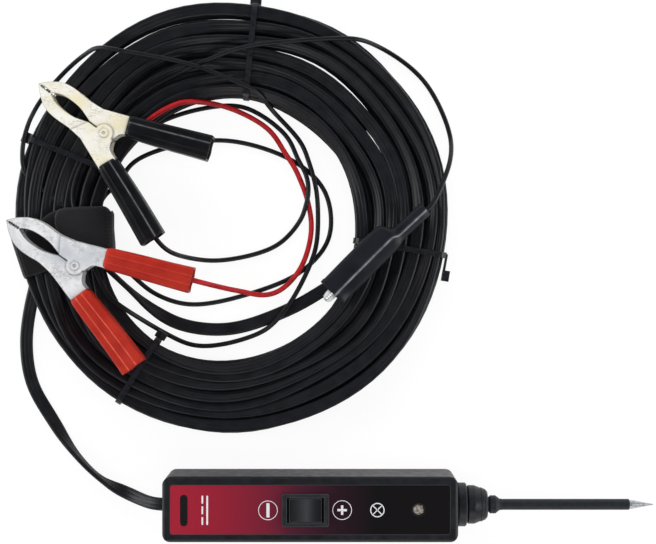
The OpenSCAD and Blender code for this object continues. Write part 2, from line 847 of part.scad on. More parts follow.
// Cable tie round the ring: a closed band, and its head on the outer or the inner side
module tie(angle, side, drift = 0) {
    edge = side > 0 ? ring_out(angle) : ring_in(angle);
    root = edge + side * (tie_gap + tie_t / 2);
    middle = coil_z0 + coil_h / 2;
    color("#0f1011")
    translate([coil_x, coil_y, 0])
        rotate([0, 0, angle])
            rotate([90, 0, 0]) {
                linear_extrude(tie_w, center = true)
                    difference() {
                        polygon(coil_section(angle, tie_gap + tie_t));
                        polygon(coil_section(angle, tie_gap));
                    }
                translate([root + side * tie_head[2] / 2, middle, drift])
                    cube([tie_head[2], tie_head[1], tie_head[0]], center = true);
                if (drift > 0)
                    hull()
                        for (k = [0, 1])
                            translate([root + side * 0.5, middle + 2 * (1 - k), k * drift])
                                cube([tie_t, tie_w, 1.2], center = true);
            }
}

module tie_top() {
    tie(tie_angles[0], 1);
}
module tie_left() {
    tie(tie_angles[1], 1);
}
module tie_lower() {
    tie(tie_angles[2], -1);
}
module tie_right() {
    tie(tie_angles[3], 1, 9);
}

// Hook-and-loop strap round the ring, with its overlapped end on top
module coil_strap() {
    strap_out = ring_out(strap_angle - 8) + 0.3;
    r = 2.4;
    mid = (strap_in + strap_out) / 2;
    height = strap_top - strap_t - 0.1;
    color("#141416")
    translate([coil_x, coil_y, 0])
        rotate([0, 0, strap_angle])
            translate([0, strap_offset, 0])
                rotate([90, 0, 0])
                    linear_extrude(strap_w, center = true)
                        difference() {
                            translate([mid, (strap_top + 1.3) / 2])
                                rounded_rect(strap_out - strap_in + 2 * strap_t, strap_top + 1.3,
                                    r + strap_t);
                            translate([mid, strap_t + height / 2])
                                rounded_rect(strap_out - strap_in, height, r);
                        }
}

// Point of a clamp's handle: how far along it, and how far outside its middle line
function handle_point(spread, s, d) =
    handle_at + s * [cos(spread), sin(spread)] + d * [-sin(spread), cos(spread)];

// Outer edge of a clamp half, from the tip of the jaw to the end of the handle
function clamp_back(spread) = concat(
    smooth_line([
        [-clamp_jaw_l, 0.1], [-0.92 * clamp_jaw_l, 0.4 * clamp_belly],
        [-0.85 * clamp_jaw_l, 0.65 * clamp_belly], [-0.77 * clamp_jaw_l, 0.86 * clamp_belly],
        [-0.66 * clamp_jaw_l, 0.98 * clamp_belly], [-0.53 * clamp_jaw_l, clamp_belly],
        [-0.38 * clamp_jaw_l, 0.97 * clamp_belly], handle_point(spread, -16, handle_w / 2)], 4),
    [handle_point(spread, handle_l, handle_w / 2)]);
// Inner edge, from the end of the handle to the almond gap and the bite of the jaw
function clamp_front(spread) = concat(
    [handle_point(spread, handle_l, -handle_w / 2), handle_point(spread, -4, -handle_w / 2)],
    smooth_line([
        [1.66 * ear_r, 1.1 * ear_r], [1.42 * ear_r, 0.79 * ear_r], [1.27 * ear_r, 0.42 * ear_r],
        [1.15 * ear_r, 0.06 * ear_r]], 2),
    smooth_line([
        [-0.23 * clamp_jaw_l, 0.3], [-0.31 * clamp_jaw_l, 1.3], [-0.42 * clamp_jaw_l, 2.4], [-0.55 * clamp_jaw_l, 2.7],
        [-0.68 * clamp_jaw_l, 2.3], [-0.78 * clamp_jaw_l, 0.9], [-0.81 * clamp_jaw_l, 0.1]], 3));

// Flat outline of one flange of a pressed half, with its pin hole and its teeth
module flange(back, front, ear, pin_d, bite, bite_n) {
    pitch = bite[1] / bite_n;
    difference() {
        union() {
            polygon(concat(back, front));
            circle(ear);
        }
        circle(d = pin_d);
        for (k = [0:bite_n - 1])
            translate([bite[0] + k * pitch, 0])
                polygon([[0, -1], [0, 0.15], [pitch / 2, 0.75], [pitch, 0.15], [pitch, -1]]);
    }
}

// Web that joins the two flanges along the back
module web(back, sheet) {
    difference() {
        polygon(strip(back, sheet));
        translate([-big, 0.05 - big])
            square([2 * big, big]);
    }
}

// Half of a battery clamp that nests in the wider one
module narrow_half(spread) {
    h = clamp_h - 2 * nest_gap;
    translate([0, 0, nest_gap]) {
        for (z = [0, h - clamp_sheet])
            translate([0, 0, z])
                linear_extrude(clamp_sheet)
                    clamp_flange(spread);
        linear_extrude(h)
            web(clamp_back(spread), clamp_sheet);
    }
}

// Wider half: behind a step across the jaw its flanges stand out, to lie over the other's
module wide_half(spread) {
    for (z = [0, clamp_h - clamp_sheet])
        translate([0, 0, z])
            linear_extrude(clamp_sheet)
                beside_step(0, big)
                    clamp_flange(spread);
    for (z = [0, clamp_h - clamp_sheet - nest_gap])
        translate([0, 0, z])
            linear_extrude(clamp_sheet + nest_gap)
                beside_step(0, clamp_sheet)
                    clamp_flange(spread);
    for (z = [nest_gap, clamp_h - clamp_sheet - nest_gap])
        translate([0, 0, z])
            linear_extrude(clamp_sheet)
                beside_step(-big, clamp_sheet)
                    clamp_flange(spread);
    linear_extrude(clamp_h)
        beside_step(0, big)
            web(clamp_back(spread), clamp_sheet);
    translate([0, 0, nest_gap])
        linear_extrude(clamp_h - 2 * nest_gap)
            beside_step(-big, clamp_sheet)
                web(clamp_back(spread), clamp_sheet);
}

module clamp_flange(spread) {
    flange(clamp_back(spread), clamp_front(spread), ear_r, rivet_d + 2 * run,
        [-0.97 * clamp_jaw_l, 0.15 * clamp_jaw_l], 5);
}

// What of a flat outline lies between two distances from the step's line
module beside_step(low, high) {
    intersection() {
        children();
        translate(step_at)
            rotate(step_turn)
                translate([-big, low])
                    square([2 * big, high - low]);
    }
}

// Plastic grip pushed over a handle, wider towards its open end
module grip(spread, start, wide) {
    h = wide ? clamp_h : clamp_h - 2 * nest_gap;
    held_l = handle_l - start + 0.5;
    open_w = grip_w + grip_flare - 2 * grip_wall;
    translate([handle_at[0], handle_at[1], clamp_h / 2])
        rotate([0, 0, spread])
            translate([start, 0, 0])
                rotate([90, 0, 90])
                    difference() {
                        linear_extrude(grip_l, scale = [1 + grip_flare / grip_w, 1], slices = 1)
                            rounded_rect(grip_w, clamp_h + 2 * grip_wall, 2.4);
                        translate([0, 0, -1])
                            linear_extrude(held_l + 1)
                                square([handle_w + 0.2, h + 0.2], center = true);
                        translate([0, 0, held_l - 0.1])
                            linear_extrude(grip_l)
                                rounded_rect(open_w - 0.6, clamp_h, 1.6);
                    }
}

module clamp_rivet() {
    color("#b9bcc0") {
        translate([0, 0, -0.5])
            cylinder(d = 1.5 * rivet_d, h = 0.45);
        translate([0, 0, -0.1])
            cylinder(d = rivet_d, h = clamp_h + 0.2);
        difference() {
            translate([0, 0, clamp_h + 0.05])
                cylinder(d1 = 1.4 * rivet_d, d2 = 1.1 * rivet_d, h = 0.5);
            translate([0, 0, clamp_h + 0.2])
                cylinder(d1 = 0.4 * rivet_d, d2 = 0.6 * rivet_d, h = 1);
        }
    }
}

// Torsion spring: touching turns round the rivet and two legs against the webs
module clamp_spring(spread) {
    wire = 1.2;
    turn_r = rivet_d / 2 + 1.6;
    turns = 4;
    pitch = wire * 0.92;
    z0 = clamp_h / 2 - pitch * (turns - 1) / 2;
    color("#9da1a6") {
        rotate_extrude()
            for (k = [0:turns - 1])
                translate([turn_r, z0 + k * pitch])
                    circle(d = wire, $fn = 24);
        for (side = [-1, 1])
            translate([0, side * turn_r, z0 + (side + 1) / 2 * pitch * (turns - 1)])
                rotate([0, 90, side * (spread + 18)])
                    translate([0, 0, -0.2])
                        cylinder(d = wire - 0.15, h = 17);
    }
}

module at_clamp(at, turn) {
    translate(at)
        rotate([0, 0, turn])
            children();
}

module red_jaw_fixed() {
    color("#c9ccd0")
        at_clamp(red_at, red_turn)
            wide_half(red_spread);
}
module red_jaw_moving() {
    color("#c9ccd0")
        at_clamp(red_at, red_turn)
            mirror([0, 1, 0])
                narrow_half(red_spread);
}
module red_rivet() {
    at_clamp(red_at, red_turn)
        clamp_rivet();
}
module red_spring() {
    at_clamp(red_at, red_turn)
        clamp_spring(red_spread);
}
module red_grip_fixed() {
    color("#c8281e")
        at_clamp(red_at, red_turn)
            grip(red_spread, red_grip_starts[0], true);
}
module red_grip_moving() {
    color("#c8281e")
        at_clamp(red_at, red_turn)
            mirror([0, 1, 0])
                grip(red_spread, red_grip_starts[1], false);
}
module black_jaw_fixed() {
    color("#d8d2b8")
        at_clamp(black_at, black_turn)
            mirror([0, 1, 0])
                wide_half(black_spread);
}
module black_jaw_moving() {
    color("#d8d2b8")
        at_clamp(black_at, black_turn)
            narrow_half(black_spread);
}
module black_rivet() {
    at_clamp(black_at, black_turn)
        clamp_rivet();
}
module black_spring() {
    at_clamp(black_at, black_turn)
        clamp_spring(black_spread);
}
module black_grip_fixed() {
    color("#131416")
        at_clamp(black_at, black_turn)
            mirror([0, 1, 0])
                grip(black_spread, black_grip_starts[0], true);
}
module black_grip_moving() {
    color("#131416")
        at_clamp(black_at, black_turn)
            grip(black_spread, black_grip_starts[1], false);
}

// Edges of the small clip's halves; the lever behind the pin spreads into the boot
clip_back = smooth_line([
    [-clip_jaw_l, 0.1], [-0.97 * clip_jaw_l, 1.6], [-0.85 * clip_jaw_l, 2.3],
    [-0.45 * clip_jaw_l, 3], [-0.15 * clip_jaw_l, 4], [3, 4.6], [13, 5.4]], 3);
clip_front = concat(
    [[13, 2.2], [4, 1.6]],
    smooth_line([[1.5, 0.5], [-0.25 * clip_jaw_l, 0.4], [-0.5 * clip_jaw_l, 1],
        [-0.62 * clip_jaw_l, 0.1]], 2));

module clip_half(wide) {
    h = wide ? clip_h : clip_h - 2 * clip_nest;
    translate([0, 0, wide ? 0 : clip_nest]) {
        for (z = [0, h - clip_sheet])
            translate([0, 0, z])
                linear_extrude(clip_sheet)
                    flange(clip_back, clip_front, 2.6, clip_pin_d + 2 * run,
                        [-0.96 * clip_jaw_l, 0.3 * clip_jaw_l], 6);
        linear_extrude(h)
            web(clip_back, clip_sheet);
    }
}

module at_clip() {
    translate([clip_at[0], clip_at[1], clip_z])
        rotate([0, 0, clip_turn])
            children();
}

module clip_jaw_fixed() {
    color("#c9ccd0")
        at_clip()
            clip_half(true);
}
module clip_jaw_moving() {
    color("#c9ccd0")
        at_clip()
            mirror([0, 1, 0])
                clip_half(false);
}
module clip_pin() {
    color("#b9bcc0")
        at_clip()
            translate([0, 0, -0.2])
                cylinder(d = clip_pin_d, h = clip_h + 0.4);
}
module clip_spring() {
    wire = 0.8;
    color("#9da1a6")
        at_clip()
            rotate_extrude()
                for (k = [-2:2])
                    translate([clip_pin_d / 2 + 0.6, clip_h / 2 + k * 0.75])
                        circle(d = wire, $fn = 24);
}

// Point of a rounded section: square-cornered as its squareness grows, an ellipse at 2
function section_point(width, height, squareness, turn) =
    [width / 2 * sign(cos(turn)) * pow(abs(cos(turn)), 2 / squareness),
    height / 2 * sign(sin(turn)) * pow(abs(sin(turn)), 2 / squareness)];

// Soft boot: a flat sleeve over the clip, a sloping shoulder and a bent tail for the lead.
// A ring is its place along and across, its heading, its width, height and squareness.
module clip_boot() {
    end_u = mouth_u + boot_l;
    shoulder = end_u + shoulder_l;
    tail_l = boot_tail_l - shoulder_l;
    tail_u = shoulder + tail_l * cos(tail_turn);
    tail_v = tail_shift + tail_l * sin(tail_turn);
    bore = lead_d + 0.4;
    inner_w = boot_w - 2 * boot_wall;
    inner_h = boot_h - 2 * boot_wall;
    sides = 28;
    rings = [
        [mouth_u, 0, 0, boot_w + 0.8, boot_h, 5], [mouth_u + 2.2, 0, 0, boot_w + 0.8, boot_h, 5],
        [mouth_u + 2.8, 0, 0, boot_w, boot_h, 5], [end_u, 0, 0, boot_w, boot_h, 5],
        [end_u + 0.5 * shoulder_l, 0.4 * tail_shift, tail_turn, 0.8 * boot_w, 0.9 * boot_h, 3.4],
        [shoulder, tail_shift, tail_turn, tail_d + 0.6, tail_d + 0.4, 2.4],
        [tail_u, tail_v, tail_turn, tail_d, tail_d, 2.4],
        [tail_u, tail_v, tail_turn, bore, bore, 2],
        [shoulder, tail_shift, tail_turn, bore, bore, 2],
        [end_u + 0.5, 0.6 * tail_shift, tail_turn, bore, bore, 2],
        [end_u - 1, 0, 0, inner_w, inner_h, 10], [mouth_u, 0, 0, inner_w, inner_h, 10]];
    count = len(rings);
    points = [for (r = rings, k = [0:sides - 1])
        let(q = section_point(r[3], r[4], r[5], 360 * (k + 0.5) / sides))
        [r[0] - q[0] * sin(r[2]), r[1] + q[0] * cos(r[2]), q[1]]];
    walls = [for (i = [0:count - 1], k = [0:sides - 1])
        let(
            a = i * sides + k,
            b = i * sides + (k + 1) % sides,
            c = ((i + 1) % count) * sides + k,
            d = ((i + 1) % count) * sides + (k + 1) % sides)
        each [[a, c, d], [a, d, b]]];
    color("#15161a")
    at_clip()
        translate([0, 0, clip_h / 2])
            polyhedron(points, walls);
}

lower_shell();
upper_shell();
label_film();
housing_screws();
circuit_board();
switch_frame();
switch_contacts();
rocker();
lamp();
lamp_spacer();
breaker();
probe_socket();
socket_screw();
gland_body();
gland_nut();
gland_bush();
probe_rod();
probe_sleeve();
cable_grommet();
cable_clamp();
clamp_screws();
cable_free();
cable_coil();
cable_inner();
split_sleeve();
lead_red();
lead_black();
lead_aux();
tie_top();
tie_left();
tie_lower();
tie_right();
coil_strap();
red_jaw_fixed();
red_jaw_moving();
red_rivet();
red_spring();
red_grip_fixed();
red_grip_moving();
black_jaw_fixed();
black_jaw_moving();
black_rivet();
black_spring();
black_grip_fixed();
black_grip_moving();
clip_jaw_fixed();
clip_jaw_moving();
clip_pin();
clip_spring();
clip_boot();
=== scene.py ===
# Looks of the automotive circuit tester: its cords, grips, boot, strap, printed marks and
# materials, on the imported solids. Lengths in millimetres are turned into metres by MM.
import math

import bpy
import numpy as np
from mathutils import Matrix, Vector


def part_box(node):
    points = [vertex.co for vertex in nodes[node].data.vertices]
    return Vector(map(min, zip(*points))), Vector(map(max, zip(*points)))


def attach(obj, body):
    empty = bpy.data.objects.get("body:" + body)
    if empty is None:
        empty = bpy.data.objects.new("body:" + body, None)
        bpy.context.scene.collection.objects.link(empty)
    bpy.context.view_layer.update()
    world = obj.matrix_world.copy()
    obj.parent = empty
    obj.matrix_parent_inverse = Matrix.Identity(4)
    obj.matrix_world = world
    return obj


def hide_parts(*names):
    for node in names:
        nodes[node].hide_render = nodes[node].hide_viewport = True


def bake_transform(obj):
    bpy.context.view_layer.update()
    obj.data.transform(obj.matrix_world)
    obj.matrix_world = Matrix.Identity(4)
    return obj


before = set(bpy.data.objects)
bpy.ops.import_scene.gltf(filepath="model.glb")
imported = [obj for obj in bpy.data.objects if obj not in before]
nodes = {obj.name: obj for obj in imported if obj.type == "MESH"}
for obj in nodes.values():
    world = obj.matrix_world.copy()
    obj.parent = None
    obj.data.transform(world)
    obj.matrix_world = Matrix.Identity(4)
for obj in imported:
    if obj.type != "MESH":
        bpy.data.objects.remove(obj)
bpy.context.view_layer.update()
MM = 0.001
ROOT = "tester"

# Camera: straight above the object, as in the photograph, with the image's top towards +Y
CAMERA_AT = (-36.0, 102.6, 700.0)
LENS = 85.37


def make_camera():
    data = bpy.data.cameras.new("camera")
    data.lens = LENS
    data.sensor_width = 36.0
    camera = bpy.data.objects.new("camera", data)
    camera.location = Vector(CAMERA_AT) * MM
    bpy.context.collection.objects.link(camera)
    bpy.context.scene.camera = camera


make_camera()

# Routes of the cords, as in the part's source: x, y, z and the turn of a flat cord
REAR_X = -107.7
AXIS_Z = 13.0
FREE_ROUTE = [
    (REAR_X, 0, AXIS_Z, 0), (REAR_X - 4, 0, AXIS_Z, 0), (-118, 1, 8, 0), (-127, 4, 2.5, 20),
    (-138, 10, 3.1, 90), (-149, 21, 3.1, 80), (-160, 37, 1.6, 20), (-169, 53, 1.3, 0),
    (-171.5, 72, 1.3, 0), (-169, 88, 3.5, 0), (-165, 102, 6.4, 0)]
INNER_ROUTE = [
    (-21, 106, 5, 0), (-28, 101, 2.5, 0), (-38, 94.5, 1.3, 0), (-53, 86, 1.3, 0),
    (-80, 77, 1.3, 0), (-102, 79, 1.3, 0), (-114, 85.5, 2.6, 45), (-125.5, 95.5, 4.5, 90),
    (-136, 105.5, 6.4, 90)]
RED_ROUTE = [
    (-104, 101.4, 23.1), (-91, 98, 22), (-80, 95, 8), (-72, 93.4, 4.6),
    (-67, 92.2, 3.6), (-60, 93, 1.3), (-53.5, 97.5, 3.6), (-47.2, 106.3, 3.6),
    (-43.4, 122, 1.3), (-45.5, 136, 1.3), (-48.5, 144, 1.3), (-51, 149.5, 3.5),
    (-55, 155.5, 3.5), (-62, 166, 1.3), (-74, 173.5, 3.5), (-86, 177.6, 3.8),
    (-93, 178.2, 7.5), (-100.5, 177.8, 12.3), (-108, 174.6, 12.5), (-114, 170.9, 12),
    (-121, 165.5, 7), (-150, 138, 3.8), (-147.5, 116, 8.7)]
BLACK_ROUTE = [
    (-115.5, 123.5, 21), (-107, 112.5, 20), (-96, 108.5, 4), (-82, 108, 1.2),
    (-59, 114.5, 1.2), (-48.2, 126, 1.6), (-46, 132, 3.9), (-44.6, 139, 3.9),
    (-46, 147, 3.8), (-49, 152, 3.7), (-54.5, 163.5, 1.2), (-70, 175.2, 1.2),
    (-80, 177.4, 1.2), (-105, 172.5, 1.5), (-123, 162, 4), (-144, 138, 4),
    (-146, 116, 6.4)]
AUX_ROUTE = [
    (-144.5, 117, 4), (-136, 137, 3.6), (-130, 142, 2), (-124.5, 151, 1.2),
    (-108, 158.5, 1.2), (-80, 161.5, 1.2), (-50, 151.5, 1.2), (-37, 138, 1.2),
    (-35.5, 118, 1.2), (-47, 103.5, 1.2), (-70, 93.2, 1.2), (-98, 88, 1.2),
    (-114, 93, 1.2), (-123, 100.5, 3), (-132, 110, 8), (-152, 131, 9.4),
    (-170.5, 146, 7), (-171.5, 155.6, 11.2), (-170, 164.8, 11), (-166, 178, 1.2),
    (-146, 199.5, 1.2), (-137.5, 202, 12.4), (-128, 200.5, 12.9), (-97, 194.3, 13.8),
    (-76, 186.5, 14), (-70, 183.8, 13.9), (-65.5, 180.3, 11), (-61, 175, 3),
    (-48, 160.5, 1.2), (-44.6, 152, 2.5), (-42.2, 144, 3.7), (-40.8, 136, 1.2),
    (-40.8, 118, 1.2), (-42.6, 109.5, 3.7), (-51.5, 91, 3.7), (-60, 80, 3.7),
    (-66, 75.5, 1.2), (-84, 70, 1.2), (-97, 69.8, 1.2), (-110.5, 76, 1.9),
    (-120.5, 82.5, 8), (-127.5, 87.5, 12.8), (-133, 92, 12.6), (-147, 126, 12.6),
    (-149, 140, 9.8), (-134, 169, 9.8), (-118, 182, 9), (-103, 190.5, 9.3),
    (-90, 196, 12.6), (-73, 201.8, 14), (-34, 205.8, 12.7), (-23, 205.7, 12.2),
    (-12, 203, 1.4), (7, 188.5, 1.2), (18.5, 165, 1.2), (18.5, 154, 10),
    (14.5, 142, 17), (9, 131, 17.6), (4, 127.8, 17.6)]
CABLE_W = 5.8
CABLE_T = 2.2
LEAD_D = 2.1
RED_LEAD_D = 2.3
# Steps between a cord's points, the rounds that soften it, and how far it stays off the floor. The
# joined cable is softened again, and a lead's heights get more rounds
CABLE_STEP, CABLE_ROUNDS, JOIN_ROUNDS, CABLE_OFF = 2.0, 4, 2, 0.1
LEAD_STEP, LEAD_ROUNDS, HEIGHT_ROUNDS, LEAD_OFF, LEAD_SIDES = 1.5, 5, 16, 0.05, 12

# Ring of turns: its centre, its strands, how far they stay inside its edges, where the cable comes
# in and goes out, and how far a strand is tilted
RING_AT = (-78.0, 125.4)
RING_Z0 = 1.4
RING_H = 10
RING_COLUMNS = 7
RING_LAYERS = 3
EDGE_GAP = 0.4
TURN_IN = 195.0
TURN_OUT = -19.9
STEP_DEG = 4.0
TILT = 26.0
# Share of a turn in which the cable goes over to its next place, and the points that ease its ends
CHANGE = 0.1
END_POINTS = 14
# Hole and rim of the ring: radius, how far off the middle, towards which angle, and how oval
HOLE_R, HOLE_OFF, HOLE_OFF_AT, HOLE_OVAL = 57.7, 4.6, 238, 0.8
RIM_R, RIM_OFF, RIM_OFF_AT = 95.8, 1.8, 118
# The top tie draws the ring in: its angle, how widely, and by how much at the hole and the rim
TIE_AT, TIE_SPREAD, TIE_HOLE, TIE_RIM = 84.2, 15, 0.9, 1.2


def ring_inner(a):
    """Inner radius of the ring at an angle in radians: its hole lies off its middle."""
    return HOLE_R + HOLE_OFF * np.cos(a - math.radians(HOLE_OFF_AT)) \
        - HOLE_OVAL * np.cos(2 * a) + TIE_HOLE * drawn_in(a)


def ring_outer(a):
    """Outer radius of the ring at an angle in radians."""
    return RIM_R + RIM_OFF * np.cos(a - math.radians(RIM_OFF_AT)) - TIE_RIM * drawn_in(a)


def drawn_in(a):
    """How much the top tie draws the ring in at an angle."""
    off = np.degrees(np.angle(np.exp(1j * (a - math.radians(TIE_AT)))))
    return np.exp(-(off / TIE_SPREAD) ** 2)


def slow_in_out(t):
    """A share from 0 to 1 that starts and ends slowly."""
    return t * t * (3 - 2 * t)


def eased_values(at, values, where):
    """Values at the places where, on a curve through them that never overshoots."""
    at, values = np.asarray(at, float), np.asarray(values, float)
    step = np.diff(at)
    rise = np.diff(values) / step
    slope = np.zeros(len(at))
    same = rise[:-1] * rise[1:] > 0
    a, b = step[:-1], step[1:]
    w1, w2 = 2 * b + a, b + 2 * a
    safe = np.where(same, rise[:-1], 1.0), np.where(same, rise[1:], 1.0)
    slope[1:-1] = np.where(same, (w1 + w2) / (w1 / safe[0] + w2 / safe[1]), 0.0)
    slope[0], slope[-1] = rise[0], rise[-1]
    i = np.clip(np.searchsorted(at, where, side="right") - 1, 0, len(step) - 1)
    t = (where - at[i]) / step[i]
    h00 = (1 + 2 * t) * (1 - t) ** 2
    h10 = t * (1 - t) ** 2
    h01 = slow_in_out(t)
    h11 = t * t * (t - 1)
    return h00 * values[i] + h10 * step[i] * slope[i] + h01 * values[i + 1] \
        + h11 * step[i] * slope[i + 1]


def plan_curve(points, per_span=24):
    """Smooth line in plan through the points, with its own place along the route's spans."""
    p = np.asarray(points, float)[:, :2]
    p = np.vstack([2 * p[0] - p[1], p, 2 * p[-1] - p[-2]])
    line, along = [], []
    for i in range(1, len(p) - 2):
        q = p[i - 1:i + 3]
        gaps = np.linalg.norm(np.diff(q, axis=0), axis=1)
        t = np.concatenate([[0], np.cumsum(np.sqrt(gaps) + 1e-6)])
        u = np.linspace(t[1], t[2], per_span, endpoint=False)[:, None]
        a1 = (t[1] - u) / (t[1] - t[0]) * q[0] + (u - t[0]) / (t[1] - t[0]) * q[1]
        a2 = (t[2] - u) / (t[2] - t[1]) * q[1] + (u - t[1]) / (t[2] - t[1]) * q[2]
        a3 = (t[3] - u) / (t[3] - t[2]) * q[2] + (u - t[2]) / (t[3] - t[2]) * q[3]
        b1 = (t[2] - u) / (t[2] - t[0]) * a1 + (u - t[0]) / (t[2] - t[0]) * a2
        b2 = (t[3] - u) / (t[3] - t[1]) * a2 + (u - t[1]) / (t[3] - t[1]) * a3
        line.append((t[2] - u) / (t[2] - t[1]) * b1 + (u - t[1]) / (t[2] - t[1]) * b2)
        along.append(i - 1 + np.arange(per_span) / per_span)
    line.append(p[-2][None])
    along.append([len(points) - 1.0])
    return np.vstack(line), np.concatenate(along)


def evenly(line, step):
    """The line again, as points about a step apart."""
    gone = np.concatenate([[0], np.cumsum(np.linalg.norm(np.diff(line[:, :3], axis=0), axis=1))])
    at = np.linspace(0, gone[-1], max(2, math.ceil(gone[-1] / step) + 1))
    return np.stack([np.interp(at, gone, line[:, k]) for k in range(line.shape[1])], axis=1)


def softened(line, rounds):
    """The line with its small kinks eased out and its ends kept."""
    line = line.copy()
    for _ in range(rounds):
        line[1:-1] = 0.25 * line[:-2] + 0.5 * line[1:-1] + 0.25 * line[2:]
    return line


def flowing(route, step, rounds):
    """Smooth line through a route's points: x, y, z and turn."""
    pts = np.asarray([tuple(p) + (0,) * (4 - len(p)) for p in route], float)
    plan, along = plan_curve(pts)
    marks = np.arange(len(pts), dtype=float)
    line = np.column_stack([plan, eased_values(marks, pts[:, 2], along),
                            eased_values(marks, pts[:, 3], along)])
    return softened(evenly(line, step), rounds)


def new_mesh(name, verts, faces, smooth=True):
    """Object in the scene from points in millimetres and faces."""
    mesh = bpy.data.meshes.new(name)
    mesh.from_pydata([tuple(v) for v in np.asarray(verts) * MM], [], [tuple(f) for f in faces])
    mesh.validate()
    mesh.update()
    if smooth:
        mesh.shade_smooth()
    piece = bpy.data.objects.new(name, mesh)
    bpy.context.collection.objects.link(piece)
    return piece


def frames_along(line, turns):
    """Side and up directions at each point of a line, turned about it by the angles."""
    ahead = np.gradient(line[:, :3], axis=0)
    ahead /= np.linalg.norm(ahead, axis=1, keepdims=True)
    side = np.cross([0, 0, 1.0], ahead)
    side /= np.maximum(np.linalg.norm(side, axis=1, keepdims=True), 1e-9)
    up = np.cross(ahead, side)
    c, s = np.cos(np.radians(turns))[:, None], np.sin(np.radians(turns))[:, None]
    return side * c + up * s, up * c - side * s


def swept(name, line, section, turns=None):
    """Closed tube of a section, points of (side, up), along a line."""
    turns = np.zeros(len(line)) if turns is None else turns
    side, up = frames_along(line, turns)
    section = np.asarray(section, float)
    rings = line[:, None, :3] + side[:, None] * section[None, :, :1] \
        + up[:, None] * section[None, :, 1:]
    n, m = len(line), len(section)
    a = np.arange(n - 1)[:, None] * m + np.arange(m)[None]
    b = np.arange(n - 1)[:, None] * m + (np.arange(m)[None] + 1) % m
    walls = np.stack([a, b, b + m, a + m], axis=2).reshape(-1, 4)
    faces = walls.tolist() + [list(range(m))[::-1], list(range((n - 1) * m, n * m))]
    return new_mesh(name, rings.reshape(-1, 3), faces)


def circle_section(d, sides):
    return [(d / 2 * math.cos(2 * math.pi * k / sides), d / 2 * math.sin(2 * math.pi * k / sides))
            for k in range(sides)]


def flat_section():
    """Flat cable: rounded sides, and two shallow grooves between its three cores."""
    half_w, half_t = CABLE_W / 2, CABLE_T / 2
    top = [(half_w, 0.0), (half_w - 0.12, 0.5), (half_w - 0.42, 0.85), (half_w - 0.85, 1.03),
           (half_w - 1.4, half_t), (1.2, 1.05), (0.97, 0.98), (0.74, 1.05), (0.3, half_t)]
    top += [(-x, y) for x, y in reversed(top[1:])] + [(-half_w, 0.0)]
    return top + [(x, -y) for x, y in reversed(top[1:-1])]


def ring_strands():
    """The turns of the ring as one line: column by column from the outside, up and down."""
    half = (CABLE_W * math.sin(math.radians(TILT)) + CABLE_T * math.cos(math.radians(TILT))) / 2
    reach = CABLE_W / 2 * math.cos(math.radians(TILT)) + EDGE_GAP
    heights = np.linspace(RING_Z0 + half, RING_Z0 + RING_H - half, RING_LAYERS)
    slots = []
    for c in range(RING_COLUMNS):
        layers = range(RING_LAYERS - 1, -1, -1) if c % 2 == 0 else range(RING_LAYERS)
        slots += [(c / (RING_COLUMNS - 1), heights[k]) for k in layers]
    sweep = TURN_IN - TURN_OUT + 360 * (len(slots) - 1)
    phi = np.arange(0, sweep + 0.1, STEP_DEG)
    turn = phi / 360
    base = np.clip(np.floor(turn).astype(int), 0, len(slots) - 1)
    after = np.minimum(base + 1, len(slots) - 1)
    t = slow_in_out(np.clip((turn - base - (1 - CHANGE)) / CHANGE, 0, 1))
    f0, z0 = np.array([s[0] for s in slots]), np.array([s[1] for s in slots])
    theta = np.radians(TURN_IN - phi)
    phase = np.random.default_rng(7).uniform(0, 2 * math.pi, (len(slots), 4))
    first, second, third, fourth = phase.T[:, :, None]
    # Each turn's own wave in plan, its dip and its roll, all in step with the angle
    own = 0.75 * np.sin(2 * theta + first) + 0.5 * np.sin(5 * theta + second)
    dip = 0.35 * np.sin(3 * theta + third)
    roll = TILT + 16 * np.sin(2 * theta + fourth) + 9 * np.sin(5 * theta + first)
    k = np.arange(len(phi))

    def here(table):
        return table[base, k] * (1 - t) + table[after, k] * t

    f = f0[base] * (1 - t) + f0[after] * t
    outer, inner = ring_outer(theta) - reach, ring_inner(theta) + reach
    r = outer + (inner - outer) * f
    # Slow waves that all turns share, strongest in the middle of the ring
    middle = 1 - (2 * f - 1) ** 2
    sway = 1.5 * np.sin(2 * theta + 0.6) + 1.1 * np.sin(3 * theta + 2.1) + 0.7 * np.sin(7 * theta)
    r = r + sway * (0.25 + 0.75 * middle) + here(own)
    z = z0[base] * (1 - t) + z0[after] * t + here(dip)
    return np.column_stack([RING_AT[0] + r * np.cos(theta), RING_AT[1] + r * np.sin(theta), z,
                            here(roll)])


